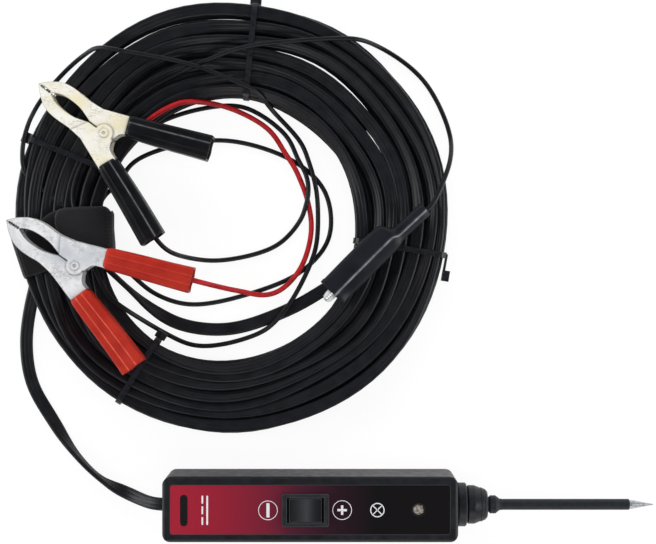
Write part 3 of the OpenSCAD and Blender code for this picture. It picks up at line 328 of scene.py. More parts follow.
def main_cable():
    """The flat cable from the handle round the ring to where it splits, and its middle line."""
    free = flowing(FREE_ROUTE, CABLE_STEP, CABLE_ROUNDS)
    inner = flowing(INNER_ROUTE, CABLE_STEP, CABLE_ROUNDS)
    turns = ring_strands()
    ease = slow_in_out(np.clip(np.arange(len(turns)) / END_POINTS, 0, 1))
    for point, e in ((free[-1], ease), (inner[0], ease[::-1])):
        angle = np.arctan2(turns[:, 1] - RING_AT[1], turns[:, 0] - RING_AT[0])
        r = np.hypot(turns[:, 0] - RING_AT[0], turns[:, 1] - RING_AT[1])
        r = r * e + math.hypot(point[0] - RING_AT[0], point[1] - RING_AT[1]) * (1 - e)
        turns[:, 0] = RING_AT[0] + r * np.cos(angle)
        turns[:, 1] = RING_AT[1] + r * np.sin(angle)
        turns[:, 2] = turns[:, 2] * e + point[2] * (1 - e)
        turns[:, 3] = turns[:, 3] * e
    line = softened(np.vstack([free[:-1], turns[1:-1], inner[1:]]), JOIN_ROUNDS)
    line[:, 2] = np.maximum(line[:, 2], CABLE_T / 2 + CABLE_OFF)
    piece = swept("main_cable", line, flat_section(), line[:, 3])
    return piece, line


def lead(name, route, d):
    """Round lead along a route, and its middle line."""
    line = flowing(route, LEAD_STEP, LEAD_ROUNDS)
    line[:, 2:3] = softened(line[:, 2:3], HEIGHT_ROUNDS)
    line[:, 2] = np.maximum(line[:, 2], d / 2 + LEAD_OFF)
    return swept(name, line, circle_section(d, LEAD_SIDES)), line


def length_of(line):
    """Length of a line in metres."""
    return float(np.linalg.norm(np.diff(line[:, :3], axis=0), axis=1).sum()) * MM


cable, cable_line = main_cable()
red_lead, red_line = lead("red_lead", RED_ROUTE[::-1], RED_LEAD_D)
black_lead, black_line = lead("black_lead", BLACK_ROUTE[::-1], LEAD_D)
aux_lead, aux_line = lead("aux_lead", AUX_ROUTE, LEAD_D)
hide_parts("cable_free", "cable_coil", "cable_inner")
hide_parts("lead_red")
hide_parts("lead_black")
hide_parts("lead_aux")


def lofted(name, rings, hollow=False, crease=None):
    """Closed skin through rings of points with ends capped; a hollow one closes on itself.

    The crease, a share for each point, says where a highlight is painted on the skin."""
    rings = np.asarray(rings, float)
    n, m = rings.shape[:2]
    faces = []
    for i in range(n if hollow else n - 1):
        j = (i + 1) % n
        for k in range(m):
            q = (k + 1) % m
            faces.append((i * m + k, j * m + k, j * m + q, i * m + q))
    if not hollow:
        faces += [tuple(range(m)), tuple(range((n - 1) * m, n * m))[::-1]]
    piece = new_mesh(name, rings.reshape(-1, 3), faces)
    if crease is not None:
        painted_highlight = piece.data.attributes.new("crease", "FLOAT", "POINT")
        painted_highlight.data.foreach_set("value", np.asarray(crease, np.float32).reshape(-1))
    return piece


def local_frame(at, turn, height=0.0):
    """Turning matrix and place of a piece that lies turned in plan by an angle in degrees."""
    c, s = math.cos(math.radians(turn)), math.sin(math.radians(turn))
    return np.array([[c, -s, 0], [s, c, 0], [0, 0, 1]]), np.array([at[0], at[1], at[2] + height])


# Battery clamps: their height, and where a handle starts from the rivet. For each one its place,
# turn and half opening in degrees; for each grip its side, its start and length along the handle,
# and how bright the highlight painted along its crease is
CLAMP_H = 12.0
HANDLE_AT = (9.7, 10.1)
CLAMPS = {
    "red": {"at": (-145.3, 105.3, 17.1), "turn": -33.7, "spread": 19.4,
            "grips": {"fixed": (1, -0.7, 38.4), "moving": (-1, -1.5, 39.3)},
            "crease": {"fixed": 0.25, "moving": 1.0}},
    "black": {"at": (-133.0, 162.8, 15.0), "turn": -37.2, "spread": 21.8,
              "grips": {"moving": (1, -3.9, 37.0), "fixed": (-1, -1.3, 38.6)},
              "crease": {"fixed": 1.0, "moving": 0.8}}}
# Half of a grip's section from its side up to the middle: across and up, as shares
GRIP_EDGE = [(0.5, 0.0), (0.5, 0.22), (0.496, 0.33), (0.482, 0.39), (0.455, 0.432), (0.41, 0.46),
             (0.35, 0.474), (0.28, 0.482), (0.215, 0.487), (0.19, 0.498), (0.17, 0.506),
             (0.15, 0.499), (0.125, 0.489), (0.06, 0.489), (0.0, 0.49)]
# Its crease: how far from the middle, and how wide its painted highlight is, as shares of its width
CREASE_AT, CREASE_W = 0.17, 0.022
# A grip's width and height at its narrow end, how much each grows, and what its first ring lacks
GRIP_W, GRIP_FLARE, GRIP_H, GRIP_RISE, GRIP_NARROW = 9.5, 2.1, 13.8, 0.5, 0.7


def grip_section(w, h, inset=0.0):
    top = [(x * w, z * h) for x, z in GRIP_EDGE]
    top += [(-x, z) for x, z in reversed(top[:-1])]
    ring = top + [(x, -z) for x, z in reversed(top[1:-1])]
    if inset:
        ring = [(x * (1 - 2 * inset / w), z * (1 - 2 * inset / h)) for x, z in ring]
    return np.asarray(ring)


def clamp_grip(name, colour, part):
    """Dipped sleeve over a handle: flared, creased along its top, and open at its end."""
    clamp = CLAMPS[colour]
    side, start, length = clamp["grips"][part]
    turn, at = local_frame(clamp["at"], clamp["turn"], CLAMP_H / 2)
    lean = math.radians(clamp["spread"])
    ahead = np.array([math.cos(lean), side * math.sin(lean)])
    across = np.array([-math.sin(lean), side * math.cos(lean)])
    root = np.array([HANDLE_AT[0], side * HANDLE_AT[1]]) + start * ahead
    phase = np.random.default_rng(len(name) * 7 + side).uniform(0, 6.28, 6)
    rings = []
    stations = [(s, 0.0) for s in np.linspace(0, 0.99, 26)] + [
        (1.0, 0.25), (1.0, 0.9), (0.985, 1.15), (0.93, 1.2), (0.78, 1.2)]
    for s, inset in stations:
        # Small waves keep the soft skin from being ruled straight
        w = GRIP_W + GRIP_FLARE * s + 0.12 * math.sin(5 * s + phase[0])
        h = GRIP_H + GRIP_RISE * s
        if s < 0.02 and not inset:
            w, h = w - GRIP_NARROW, h - GRIP_NARROW
        ring = grip_section(w, h, inset)
        u = s * length + 0.12 * np.sin(ring[:, 0] * 0.9 + phase[1]) * (s > 0.99)
        v = ring[:, 0] + 0.12 * math.sin(4.5 * s + phase[2])
        z = ring[:, 1] + 0.1 * np.sin(6 * s + phase[3] + ring[:, 0])
        rings.append(np.column_stack([root + u[:, None] * ahead + v[:, None] * across, z]))
    points = np.asarray(rings) @ turn.T + at
    # Painted highlight along the creases on the grip's top, for each point; black grips get it on
    # one side only
    edge = grip_section(1, 1)
    near = np.exp(-((np.abs(edge[:, 0]) - CREASE_AT) / CREASE_W) ** 2) * (edge[:, 1] > 0)
    near = near * (edge[:, 0] * side > 0 if colour == "black" else 1)
    crease = np.array([near * (s < 1) * clamp["crease"][part] for s, _ in stations])
    if side < 0:
        points, crease = points[:, ::-1], crease[:, ::-1]
    return lofted(name, points[:, ::-1], crease=crease[:, ::-1])


# Small clip: its place, turn and height, where its tail ends and which creases get a painted
# highlight. Then the places of a soft section's points: across one half, all round, and which
# of them are on its top
CLIP_AT = (-23.0, 104.8)
CLIP_TURN = 45.6
BOOT_Z = 17.6
BOOT_END = 38.8
PAINTED_HIGHLIGHT_CREASE = 0.45
SOFT_HALF = np.array([0, 0.04, 0.08, 0.12, 0.2, 0.35, 0.5, 0.65, 0.78, 0.88, 0.94, 0.975, 0.993,
                      1])
SOFT_EVEN = np.concatenate([SOFT_HALF[::-1], -SOFT_HALF[1:], -SOFT_HALF[-2::-1], SOFT_HALF[1:-1]])
SOFT_TOP = np.arange(len(SOFT_EVEN)) <= 2 * (len(SOFT_HALF) - 1)


def soft_section(w, h, power, crease, ridge=-0.24):
    """Rounded section whose top is a low roof with a raised crease a little beside its middle."""
    even, top = SOFT_EVEN, SOFT_TOP
    share = np.where(top, even + ridge * (1 - np.abs(even)), even)
    side = (h / 2 - crease) * (1 - np.abs(share) ** power) ** (1 / power)
    roof = crease * (1 - np.abs(even)) + 0.32 * crease * np.exp(-(even * w / 2 / 0.55) ** 2)
    return np.column_stack([share * w / 2, np.where(top, side + roof, -side) + crease * 0.1])


def crease_highlight(w):
    """How strong the painted highlight is at each point of a soft section: only next to its crease.
    """
    return np.exp(-(SOFT_EVEN * w / 2 / 0.36) ** 2) * SOFT_TOP


def clip_boot():
    """Soft boot: its mouth's lip, a creased body, a rounded shoulder and the lead's tail."""
    turn, at = local_frame((*CLIP_AT, BOOT_Z), CLIP_TURN)
    rings = []
    # Each station: along, across, heading in degrees, width, height, roundness and crease
    plan = [
        (-15.2, 0, 0, 13.4, 8.6, 5, 0.8), (-16.0, 0, 0, 14.0, 9.3, 5, 0.9),
        (-15.6, 0, 0, 14.3, 9.6, 5, 0.9), (-14.2, 0, 0, 14.3, 9.6, 5, 0.9),
        (-13.8, 0, 0, 13.8, 9.3, 5, 1.0), (-9, 0, 0, 13.8, 9.4, 5, 1.2),
        (-4, 0, 0, 13.9, 9.5, 5, 1.3), (2, -0.1, 0, 14.0, 9.6, 5, 1.3),
        (8, -0.1, 0, 13.9, 9.6, 5, 1.3), (13, -0.2, 0, 13.8, 9.6, 5, 1.3),
        (17.2, -0.3, 0, 13.6, 9.5, 4.6, 1.2), (19.0, -0.4, 0, 13.1, 9.3, 4.2, 1.1),
        (20.2, -0.8, 0, 12.1, 8.9, 3.8, 1.0), (21.0, -1.4, -1, 10.6, 8.4, 3.4, 0.9),
        (21.7, -2.1, -2, 8.9, 7.8, 3.0, 0.8), (22.4, -2.5, -3, 7.7, 7.3, 2.8, 0.8),
        (23.4, -2.7, -3.5, 7.1, 6.9, 2.8, 0.8), (26, -2.8, -3.5, 6.9, 6.7, 2.8, 0.9),
        (30, -3.0, -3.5, 6.9, 6.7, 2.8, 0.9), (35, -3.2, -3.5, 6.8, 6.6, 2.8, 0.9),
        (38.6, -3.4, -3.5, 6.7, 6.5, 2.8, 0.8), (39.0, -3.4, -3.5, 6.1, 5.9, 2.8, 0.5),
        (BOOT_END, -3.4, -3.5, 3.0, 3.0, 2.0, 0.0), (36.0, -3.2, -3.5, 2.9, 2.9, 2.0, 0.0)]
    painted_highlight = []
    for u, v, head, w, h, power, crease in plan:
        ring = soft_section(w, h, power, crease)
        # Painted highlight along the crease of the body and tail, where the crease stands high
        # enough
        painted_highlight.append(crease_highlight(w) * (crease > PAINTED_HIGHLIGHT_CREASE and u < BOOT_END))
        c, s = math.cos(math.radians(head)), math.sin(math.radians(head))
        rings.append(np.column_stack([u - ring[:, 0] * s, v + ring[:, 0] * c, ring[:, 1]]))
    inner = []
    for u, w, h in ((-8, 12.2, 7.2), (-15.6, 12.4, 7.4)):
        mouth = soft_section(w, h, 4.5, 0.2)
        inner.append(np.column_stack([np.full(len(mouth), u), mouth]))
    points = np.asarray(inner + rings) @ turn.T + at
    painted_highlight = np.asarray([painted_highlight[0] * 0] * len(inner) + painted_highlight)
    return lofted("soft_boot", points[:, ::-1], crease=painted_highlight[:, ::-1])


def ring_band(name, x0, x1, r0, r1, count, axis_z, sides=40, height=0.2):
    """Band of rounded rings round the probe's axis, between two places with their own radius."""
    share = np.linspace(0, 1, 6 * count + 1)
    top = r0 + (r1 - r0) * share + height * np.abs(np.sin(math.pi * count * share))
    path = [(x0 + (x1 - x0) * t, r) for t, r in zip(share, top)]
    path += [(x1, r1 - 0.3), (x0, r0 - 0.3)]
    turn = np.linspace(0, 2 * math.pi, sides, endpoint=False)
    rings = [[(x, r * math.cos(t), axis_z + r * math.sin(t)) for t in turn] for x, r in path]
    return lofted(name, np.asarray(rings)[:, ::-1], hollow=True)


def probe_rings():
    """Fine rings on the gland's nose and on the sleeve's bulb."""
    (bulb_x, _, low), (_, _, high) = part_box("probe_sleeve")
    axis_z, bulb_r = (low + high) / 2 / MM, (high - low) / 2 / MM
    nut_x1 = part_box("gland_nut")[1][0] / MM
    nut_r = (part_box("gland_nut")[1][2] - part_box("gland_nut")[0][2]) / 2 / MM
    return [
        ring_band("bulb_rings", bulb_x / MM + 0.75, bulb_x / MM + 3.25, bulb_r, bulb_r, 4, axis_z),
        ring_band("nose_rings", nut_x1 - 2.9, nut_x1 - 0.7, nut_r - 1.0, nut_r - 2.0, 3, axis_z)]


# Strap: the angle at which it crosses the ring and how far beside the ring's middle it lies. Its
# lap stands off in a bulge: where, how far, and how quickly it fades inwards and outwards. Its
# inner corner is rounded, and its inner part slants. Then the width and thickness of its two
# layers, how round the lap's end is, and its mesh
STRAP_TURN = 197.4
STRAP_OFFSET = -12.9
BULGE_AT, BULGE, BULGE_IN, BULGE_OUT = 73, 5.0, 13, 9.5
CORNER_AT, CORNER_R = 54, 3
SLANT_AT, SLANT = 78, 0.235
WRAP_W, WRAP_T = 19.4, 1.2
LAP_W, LAP_T, LAP_ROUND = 20.0, 1.3, 4.5
STRAP_STEP, STRAP_CUTS = 0.8, 17


def strap_band(name, line, width, thick, round_end=0.0):
    """Woven band along a line of (out, up) points, with one end rounded off."""
    line = evenly(np.asarray([(u, z, 0) for u, z in line], float), STRAP_STEP)[:, :2]
    ahead = np.gradient(line, axis=0)
    ahead /= np.linalg.norm(ahead, axis=1, keepdims=True)
    normal = np.column_stack([-ahead[:, 1], ahead[:, 0]])
    gone = np.concatenate([[0], np.cumsum(np.linalg.norm(np.diff(line, axis=0), axis=1))])
    rings = []
    cuts = np.linspace(-1, 1, STRAP_CUTS)
    for i in range(len(line)):
        half = width / 2
        if round_end and gone[i] < round_end:
            drop = round_end - gone[i]
            half = width / 2 - round_end + math.sqrt(max(round_end ** 2 - drop ** 2, 0.09))
        edge = thick / 2 * np.sqrt(np.clip(1 - np.abs(cuts) ** 8, 0.04, 1))
        wave = 0.12 * math.sin(gone[i] * 0.5) * cuts
        upper = line[i] + normal[i] * (edge + wave)[:, None]
        lower = (line[i] - normal[i] * (edge - wave)[:, None])[::-1]
        side = half * cuts + 0.15 * math.sin(gone[i] * 0.33)
        side = np.concatenate([side, side[::-1]])
        rings.append(np.column_stack([np.vstack([upper, lower]), side]))
    rings = np.asarray(rings)
    c, s = math.cos(math.radians(STRAP_TURN)), math.sin(math.radians(STRAP_TURN))
    out, up, side = rings[..., 0], rings[..., 1], rings[..., 2]
    fade = np.where(out > BULGE_AT, BULGE_OUT, BULGE_IN)
    bulge = BULGE * np.exp(-((out - BULGE_AT) / fade) ** 2) * np.clip((up - 9) / 4, 0, 1)
    corner = np.clip(CORNER_AT - out, 0, CORNER_R)
    bulge = bulge - CORNER_R + np.sqrt(CORNER_R ** 2 - corner ** 2)
    side = np.where(side < 0, side * (1 + 2 * bulge / width), side) + STRAP_OFFSET
    out = out + SLANT * (rings[..., 2] + 8) * np.clip((SLANT_AT - out) / 20, 0, 1)
    x, y = RING_AT[0] + out * c - side * s, RING_AT[1] + out * s + side * c
    return lofted(name, np.stack([x, y, up], axis=-1))


def strap_pieces():
    """The strap's turn round the ring and the end that laps over it."""
    wrap = [(94, 13.6), (88, 14.0), (80, 14.2), (72, 14.1), (62, 14.2), (56, 13.9), (53, 12.6),
            (52, 9), (52.4, 4), (54.4, 1.3), (60, 0.75), (75, 0.75), (88, 0.75), (93.6, 1.4),
            (96, 4), (96.2, 8), (95.6, 11.8), (94, 13.6)]
    lap = [(75.0, 15.3), (72, 15.35), (62, 15.3), (56, 15.1), (52.6, 14.2), (50.9, 11.6),
           (50.6, 8), (50.9, 4)]
    return [strap_band("strap_wrap", wrap, WRAP_W, WRAP_T),
            strap_band("strap_lap", lap, LAP_W, LAP_T, LAP_ROUND)]


def linear(hex_text):
    """Scene-linear colour of a screen colour."""
    values = [int(hex_text[i:i + 2], 16) / 255 for i in (0, 2, 4)]
    return tuple(v / 12.92 if v <= 0.04045 else ((v + 0.055) / 1.055) ** 2.4 for v in values)


def fill_ramp(ramp, stops):
    while len(ramp.elements) < len(stops):
        ramp.elements.new(0.5)
    for element, (at, colour) in zip(ramp.elements, stops):
        element.position = at
        element.color = (*colour, 1.0)


def put(node, **values):
    """Set a node's own sockets, whose names have _ for a space here."""
    for key, value in values.items():
        node.inputs[key.replace("_", " ")].default_value = value
    return node


def linear_stops(*stops):
    """Stops of a ramp from places and screen colours."""
    return [(at, linear(colour)) for at, colour in stops]


class Nodes:
    """A material's node tree with short ways to add and join nodes."""

    def __init__(self, name, rough=0.5, metal=0.0, specular=0.5, **sockets):
        self.material = bpy.data.materials.new(name)
        self.material.use_nodes = True
        self.tree = self.material.node_tree
        self.shader = self.tree.nodes["Principled BSDF"]
        put(self.shader, Roughness=rough, Metallic=metal, Specular_IOR_Level=specular, **sockets)
        self.place = self.add("ShaderNodeTexCoord").outputs["Object"]

    def add(self, kind, **fields):
        node = self.tree.nodes.new(kind)
        for key, value in fields.items():
            setattr(node, key, value)
        return node

    def join(self, source, target):
        self.tree.links.new(source, target)

    def along_x(self, low, high):
        """The object's X in metres, from 0 at low to 1 at high."""
        split = self.add("ShaderNodeSeparateXYZ")
        self.join(self.place, split.inputs["Vector"])
        return self.between(split.outputs["X"], low, high, 0.0, 1.0)

    def times(self, a, b):
        return self.sum(a, b, "MULTIPLY")

    def noise(self, scale, detail=3.0, rough=0.5, stretch=None):
        node = put(self.add("ShaderNodeTexNoise"), Scale=scale, Detail=detail, Roughness=rough)
        source = self.place
        if stretch:
            mapping = put(self.add("ShaderNodeMapping"), Scale=stretch)
            self.join(self.place, mapping.inputs["Vector"])
            source = mapping.outputs["Vector"]
        self.join(source, node.inputs["Vector"])
        return node.outputs["Fac"]

    def ramp(self, factor, stops):
        """Colour that follows a factor through stops of place and colour."""
        node = self.add("ShaderNodeValToRGB")
        fill_ramp(node.color_ramp, stops)
        self.join(factor, node.inputs["Fac"])
        return node.outputs["Color"]

    def between(self, factor, low, high, out_low, out_high):
        """A factor's range from low to high, carried over to another range."""
        node = put(self.add("ShaderNodeMapRange"), From_Min=low, From_Max=high, To_Min=out_low,
                   To_Max=out_high)
        self.join(factor, node.inputs["Value"])
        return node.outputs["Result"]

    def sum(self, a, b, operation="ADD"):
        """Sum of two numbers or outputs, or what another operation makes of them."""
        node = self.add("ShaderNodeMath", operation=operation)
        for i, value in enumerate((a, b)):
            if isinstance(value, (int, float)):
                node.inputs[i].default_value = value
            else:
                self.join(value, node.inputs[i])
        return node.outputs["Value"]

    def shade(self, low, high, distance, inside):
        """Mask of convex edges (inside) or of corners and gaps, from ambient occlusion."""
        node = self.add("ShaderNodeAmbientOcclusion", inside=inside, only_local=inside, samples=8)
        put(node, Distance=distance)
        return self.between(node.outputs["AO"], low, high, 1.0, 0.0)

    def mixed(self, factor, base, other):
        """Colour that turns from base into the colour other by a factor."""
        node = self.add("ShaderNodeMix", data_type="RGBA")
        node.inputs[7].default_value = (*linear(other), 1.0)
        self.join(factor, node.inputs[0])
        self.join(base, node.inputs[6])
        return node.outputs[2]

    def colour(self, source):
        self.join(source, self.shader.inputs["Base Color"])

    def roughness(self, source):
        self.join(source, self.shader.inputs["Roughness"])

    def bump(self, height, strength, distance):
        node = put(self.add("ShaderNodeBump"), Strength=strength, Distance=distance)
        self.join(height, node.inputs["Height"])
        self.join(node.outputs["Normal"], self.shader.inputs["Normal"])


def mottled(name, dark, light, rough, spread, scale, bump, distance=0.00005, metal=0.0, edge=None,
            **sockets):
    """Material whose colour and roughness wander a little, with a fine grain; an edge colour, if
    given, is a painted highlight on its convex edges.
    """
    m = Nodes(name, rough, metal, **sockets)
    broad = m.noise(scale, 4.0)
    fine = m.noise(scale * 9, 2.0)
    colour = m.ramp(broad, linear_stops((0.3, dark), (0.7, light)))
    if edge:
        # Painted highlight: convex edges turn towards the edge colour
        colour = m.mixed(m.shade(0.5, 0.85, 0.0007, True), colour, edge)
    m.colour(colour)
    m.roughness(m.between(broad, 0.3, 0.7, rough - spread, rough + spread))
    m.bump(fine, bump, distance)
    return m.material


# Grey of the painted shade in the corners and gaps of plated metal
PAINTED_CORNER_SHADE = "3c3d40"


def zinc(name, low, high, tint, metal=0.45, blush=None, rim="6d6f73"):
    """Bright plated steel: cloudy crystals and fine scratches, with a painted dark reflection on
    its rims and painted shade in its corners.
    """
    m = Nodes(name, 0.35, metal)
    clouds = m.noise(190, 5.0, 0.65)
    scuffs = m.noise(420, 6.0, 0.7)
    scratches = m.noise(260, 6.0, 0.75, stretch=(1.0, 7.0, 1.0))
    cells = put(m.add("ShaderNodeTexVoronoi"), Scale=520)
    m.join(m.place, cells.inputs["Vector"])
    crystals = m.sum(m.times(clouds, 0.7), m.times(scuffs, 0.3))
    crystals = m.sum(crystals, m.times(cells.outputs["Distance"], 0.12))
    colour = m.ramp(crystals, linear_stops((0.33, low), (0.45, tint), (0.62, high)))
    if blush:
        colour = m.mixed(m.between(m.noise(95, 3.0), 0.5, 0.68, 0.0, 0.8), colour, blush)
    # Painted dark reflection: convex rims turn towards the rim grey
    colour = m.mixed(m.times(m.shade(0.5, 0.8, 0.0006, True), 0.6), colour, rim)
    # Painted shade: corners and gaps turn towards a grey
    colour = m.mixed(m.times(m.shade(0.35, 0.9, 0.0014, False), 0.8), colour, PAINTED_CORNER_SHADE)
    m.colour(colour)
    m.roughness(m.between(m.times(clouds, scratches), 0.12, 0.4, 0.2, 0.5))
    m.bump(m.sum(scuffs, scratches), 0.2, 0.0001)
    return m.material


# The label's print runs from red to black along X, between these two places in metres
LABEL_FROM, LABEL_TO = -0.1037, 0.0166


def label_material():
    """Printed film: dark red that turns black towards the probe, under a thin coat."""
    m = Nodes("label_print", 0.34, specular=0.3, Coat_Weight=0.15, Coat_Roughness=0.15)
    along = m.sum(m.along_x(LABEL_FROM, LABEL_TO), m.times(m.noise(900, 2.0), 0.01))
    m.colour(m.ramp(along, linear_stops((0.0, "96162c"), (0.16, "89142a"), (0.34, "6b152a"),
                                        (0.46, "47162a"), (0.6, "23111a"), (0.74, "0f0d0f"))))
    m.bump(m.noise(1500, 2.0), 0.08, 0.00003)
    return m.material


def weave_material(name, dark, light, depth):
    """Tape of fine threads in both directions."""
    m = Nodes(name, 0.85, specular=0.25, Sheen_Weight=0.25, Sheen_Roughness=0.5)
    warp = m.add("ShaderNodeTexWave", wave_type="BANDS", bands_direction="DIAGONAL")
    weft = m.add("ShaderNodeTexWave", wave_type="BANDS", bands_direction="Y")
    for node, scale in ((warp, 420.0), (weft, 540.0)):
        put(node, Scale=scale, Distortion=1.2, Detail=2.0)
        m.join(m.place, node.inputs["Vector"])
    threads = m.times(warp.outputs["Fac"], weft.outputs["Fac"])
    worn = m.sum(m.times(threads, 0.6), m.times(m.noise(90, 4.0), 0.4))
    m.colour(m.ramp(worn, linear_stops((0.1, dark), (0.75, light))))
    m.bump(threads, depth, 0.0002)
    return m.material


def rocker_material():
    """Glossy cap with a painted reflection, paler along its middle, and a painted highlight
    at its rim.
    """
    m = Nodes("rocker_plastic", 0.34, specular=0.32)
    low, high = (corner[0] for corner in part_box("rocker"))
    # Painted reflection of a dished cap: dark at both ends and paler along the middle, along X
    along = m.sum(m.along_x(low, high), m.times(m.noise(900, 3.0), 0.06))
    colour = m.ramp(along, linear_stops((0.08, "0e0f11"), (0.34, "26272a"), (0.56, "36373b"),
                                        (0.78, "1d1e21"), (0.97, "0e0f11")))
    # Painted highlight on the cap's convex rim
    m.colour(m.mixed(m.shade(0.5, 0.85, 0.0005, True), colour, "45464a"))
    m.bump(m.noise(2600, 2.0), 0.05, 0.00005)
    return m.material


def clear_material():
    """Water-clear epoxy over a pale reflector, with darker leads inside it."""
    m = Nodes("lamp_lens", 0.12, Transmission_Weight=0.25, IOR=1.5)
    cells = m.noise(700, 3.0, 0.7)
    m.colour(m.ramp(cells, linear_stops((0.36, "4f4944"), (0.5, "8d857d"), (0.66, "b8b0a6"))))
    return m.material


def grip_material(name, dark, light, edge, rough):
    """Dip-moulded PVC: satin and softly clouded, with a highlight painted along its creases."""
    m = Nodes(name, rough, specular=0.24)
    cloud = m.noise(110, 3.0, 0.5)
    speck = m.noise(800, 3.0, 0.6)
    grain = m.sum(m.times(cloud, 0.8), m.times(speck, 0.2))
    colour = m.ramp(grain, linear_stops((0.3, dark), (0.7, light)))
    # Painted highlight: the crease attribute, broken up by noise, turns the colour towards the edge
    # colour
    crease = m.add("ShaderNodeAttribute", attribute_name="crease").outputs["Fac"]
    painted_highlight_noise = m.between(m.noise(260, 3.0), 0.35, 0.65, 0.45, 1.0)
    m.colour(m.mixed(m.times(crease, painted_highlight_noise), colour, edge))
    m.roughness(m.between(cloud, 0.3, 0.7, rough - 0.04, rough + 0.06))
    m.bump(grain, 0.06, 0.0002)
    return m.material


MATERIALS = {
    # Housing and bezel: their edge colour is a painted highlight on convex edges
    "housing": mottled("housing_plastic", "131417", "1b1c20", 0.42, 0.06, 300, 0.2,
                       edge="3a3c41", specular=0.34),
    "bezel": mottled("bezel_plastic", "1b1c1f", "26272b", 0.45, 0.05, 400, 0.15,
                     edge="393a3e", specular=0.34),
    "rocker": rocker_material(),
    "label": label_material(),
    # Each zinc material gets a painted dark reflection on its rims and painted shade in its corners
    "steel": zinc("screw_steel", "808387", "b9bbbf", "9c9ea1", 0.8),
    "board": mottled("board_laminate", "17452c", "20593a", 0.35, 0.05, 500, 0.2),
    "brass": mottled("brass_metal", "a88444", "c9a45a", 0.3, 0.06, 400, 0.2, metal=1.0),
    "lamp": clear_material(),
    "breaker": mottled("breaker_coating", "b07c1e", "cf9a2c", 0.25, 0.04, 400, 0.1),
    "rubber": mottled("seal_rubber", "141415", "1e1e20", 0.6, 0.06, 500, 0.3),
    "gland": mottled("gland_nylon", "17181d", "212228", 0.4, 0.05, 400, 0.15, specular=0.3),
    "rod": zinc("rod_steel", "8d9095", "d2d4d7", "b0b2b6", 0.7),
    "sleeve": mottled("shrink_sleeve", "1a1b20", "23252b", 0.5, 0.05, 500, 0.25, specular=0.3),
    "cable": mottled("cable_pvc", "101115", "17181d", 0.38, 0.05, 180, 0.05, specular=0.36),
    "red_lead": mottled("red_lead_pvc", "960f17", "b41920", 0.42, 0.05, 300, 0.1, specular=0.3),
    "tie": mottled("tie_nylon", "15161a", "212227", 0.3, 0.05, 500, 0.1, specular=0.34),
    "strap": weave_material("strap_nap", "050506", "101012", 0.3),
    "strap_lap": weave_material("strap_weave", "0d0d0f", "242428", 0.5),
    "red_zinc": zinc("clamp_zinc", "b9bcc3", "f8f9f9", "dee0e3", 0.36, "c6cad3"),
    # Its last colour is the grey of the painted dark reflection on its rims
    "black_zinc": zinc("clamp_yellow_zinc", "dad3bc", "fffdf6", "f3eedd", 0.32, "f6eabc",
                       "8a8268"),
    "clip_zinc": zinc("clip_zinc", "8b8e93", "f2f3f4", "c9ccd0", 0.4),
    # Grips and boot: their third colour is the highlight painted along their creases
    "red_grip": grip_material("red_grip_pvc", "961a0e", "b22a19", "d8644f", 0.42),
    "black_grip": grip_material("black_grip_pvc", "0a0a0d", "111216", "74777c", 0.36),
    "boot": grip_material("boot_pvc", "14151a", "1d1e24", "8e9196", 0.34),
    "white_ink": mottled("white_ink", "cfcfd2", "e4e4e6", 0.45, 0.04, 600, 0.1),
    "black_ink": mottled("black_ink", "0b0a0b", "121112", 0.4, 0.04, 600, 0.1),
}


def paint(piece, key):
    piece.data.materials.clear()
    piece.data.materials.append(MATERIALS[key])


def settle(piece, key, body=ROOT):
    """Give a piece its material and its body."""
    paint(piece, key)
    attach(piece, body)


TIES = ["tie_top", "tie_left", "tie_lower", "tie_right"]
NODE_MATERIALS = {
    "housing": ["lower_shell", "upper_shell", "cable_clamp"],
    "bezel": ["switch_frame"],
    "rocker": ["rocker"],
    "label": ["label_film"],
    "steel": ["housing_screws", "socket_screw", "clamp_screws", "clip_spring", "red_spring",
              "black_spring", "clip_pin"],
    "board": ["circuit_board"],
    "brass": ["switch_contacts", "probe_socket"],
    "lamp": ["lamp"],
    "breaker": ["breaker"],
    "rubber": ["gland_bush", "cable_grommet", "lamp_spacer"],
    "gland": ["gland_body", "gland_nut"],
    "rod": ["probe_rod"],
    "sleeve": ["probe_sleeve", "split_sleeve"],
    "tie": TIES,
    "red_zinc": ["red_jaw_fixed", "red_jaw_moving", "red_rivet"],
    "black_zinc": ["black_jaw_fixed", "black_jaw_moving", "black_rivet"],
    "clip_zinc": ["clip_jaw_fixed", "clip_jaw_moving"],
    "red_grip": ["red_grip_fixed", "red_grip_moving"],
    "black_grip": ["black_grip_fixed", "black_grip_moving", "clip_boot"],
    "strap": ["coil_strap"],
}
for key, names in NODE_MATERIALS.items():
    for name in names:
        for slot in nodes[name].material_slots:
            slot.material = MATERIALS[key]

# Rounded edges: widths in millimetres
EDGES = {0.4: ["red_jaw_fixed", "red_jaw_moving", "black_jaw_fixed", "black_jaw_moving"],
         0.35: ["rocker"],
         0.3: ["upper_shell", "switch_frame"],
         0.25: TIES,
         0.2: ["clip_jaw_fixed", "clip_jaw_moving"]}
for width, names in EDGES.items():
    for name in names:
        bevel = nodes[name].modifiers.new("edges", "BEVEL")
        bevel.width = width * MM
        bevel.segments = 2
        bevel.limit_method = "ANGLE"
        bevel.angle_limit = math.radians(50)
        bevel.use_clamp_overlap = True

for piece in (cable, black_lead, aux_lead):
    settle(piece, "cable")
settle(red_lead, "red_lead")


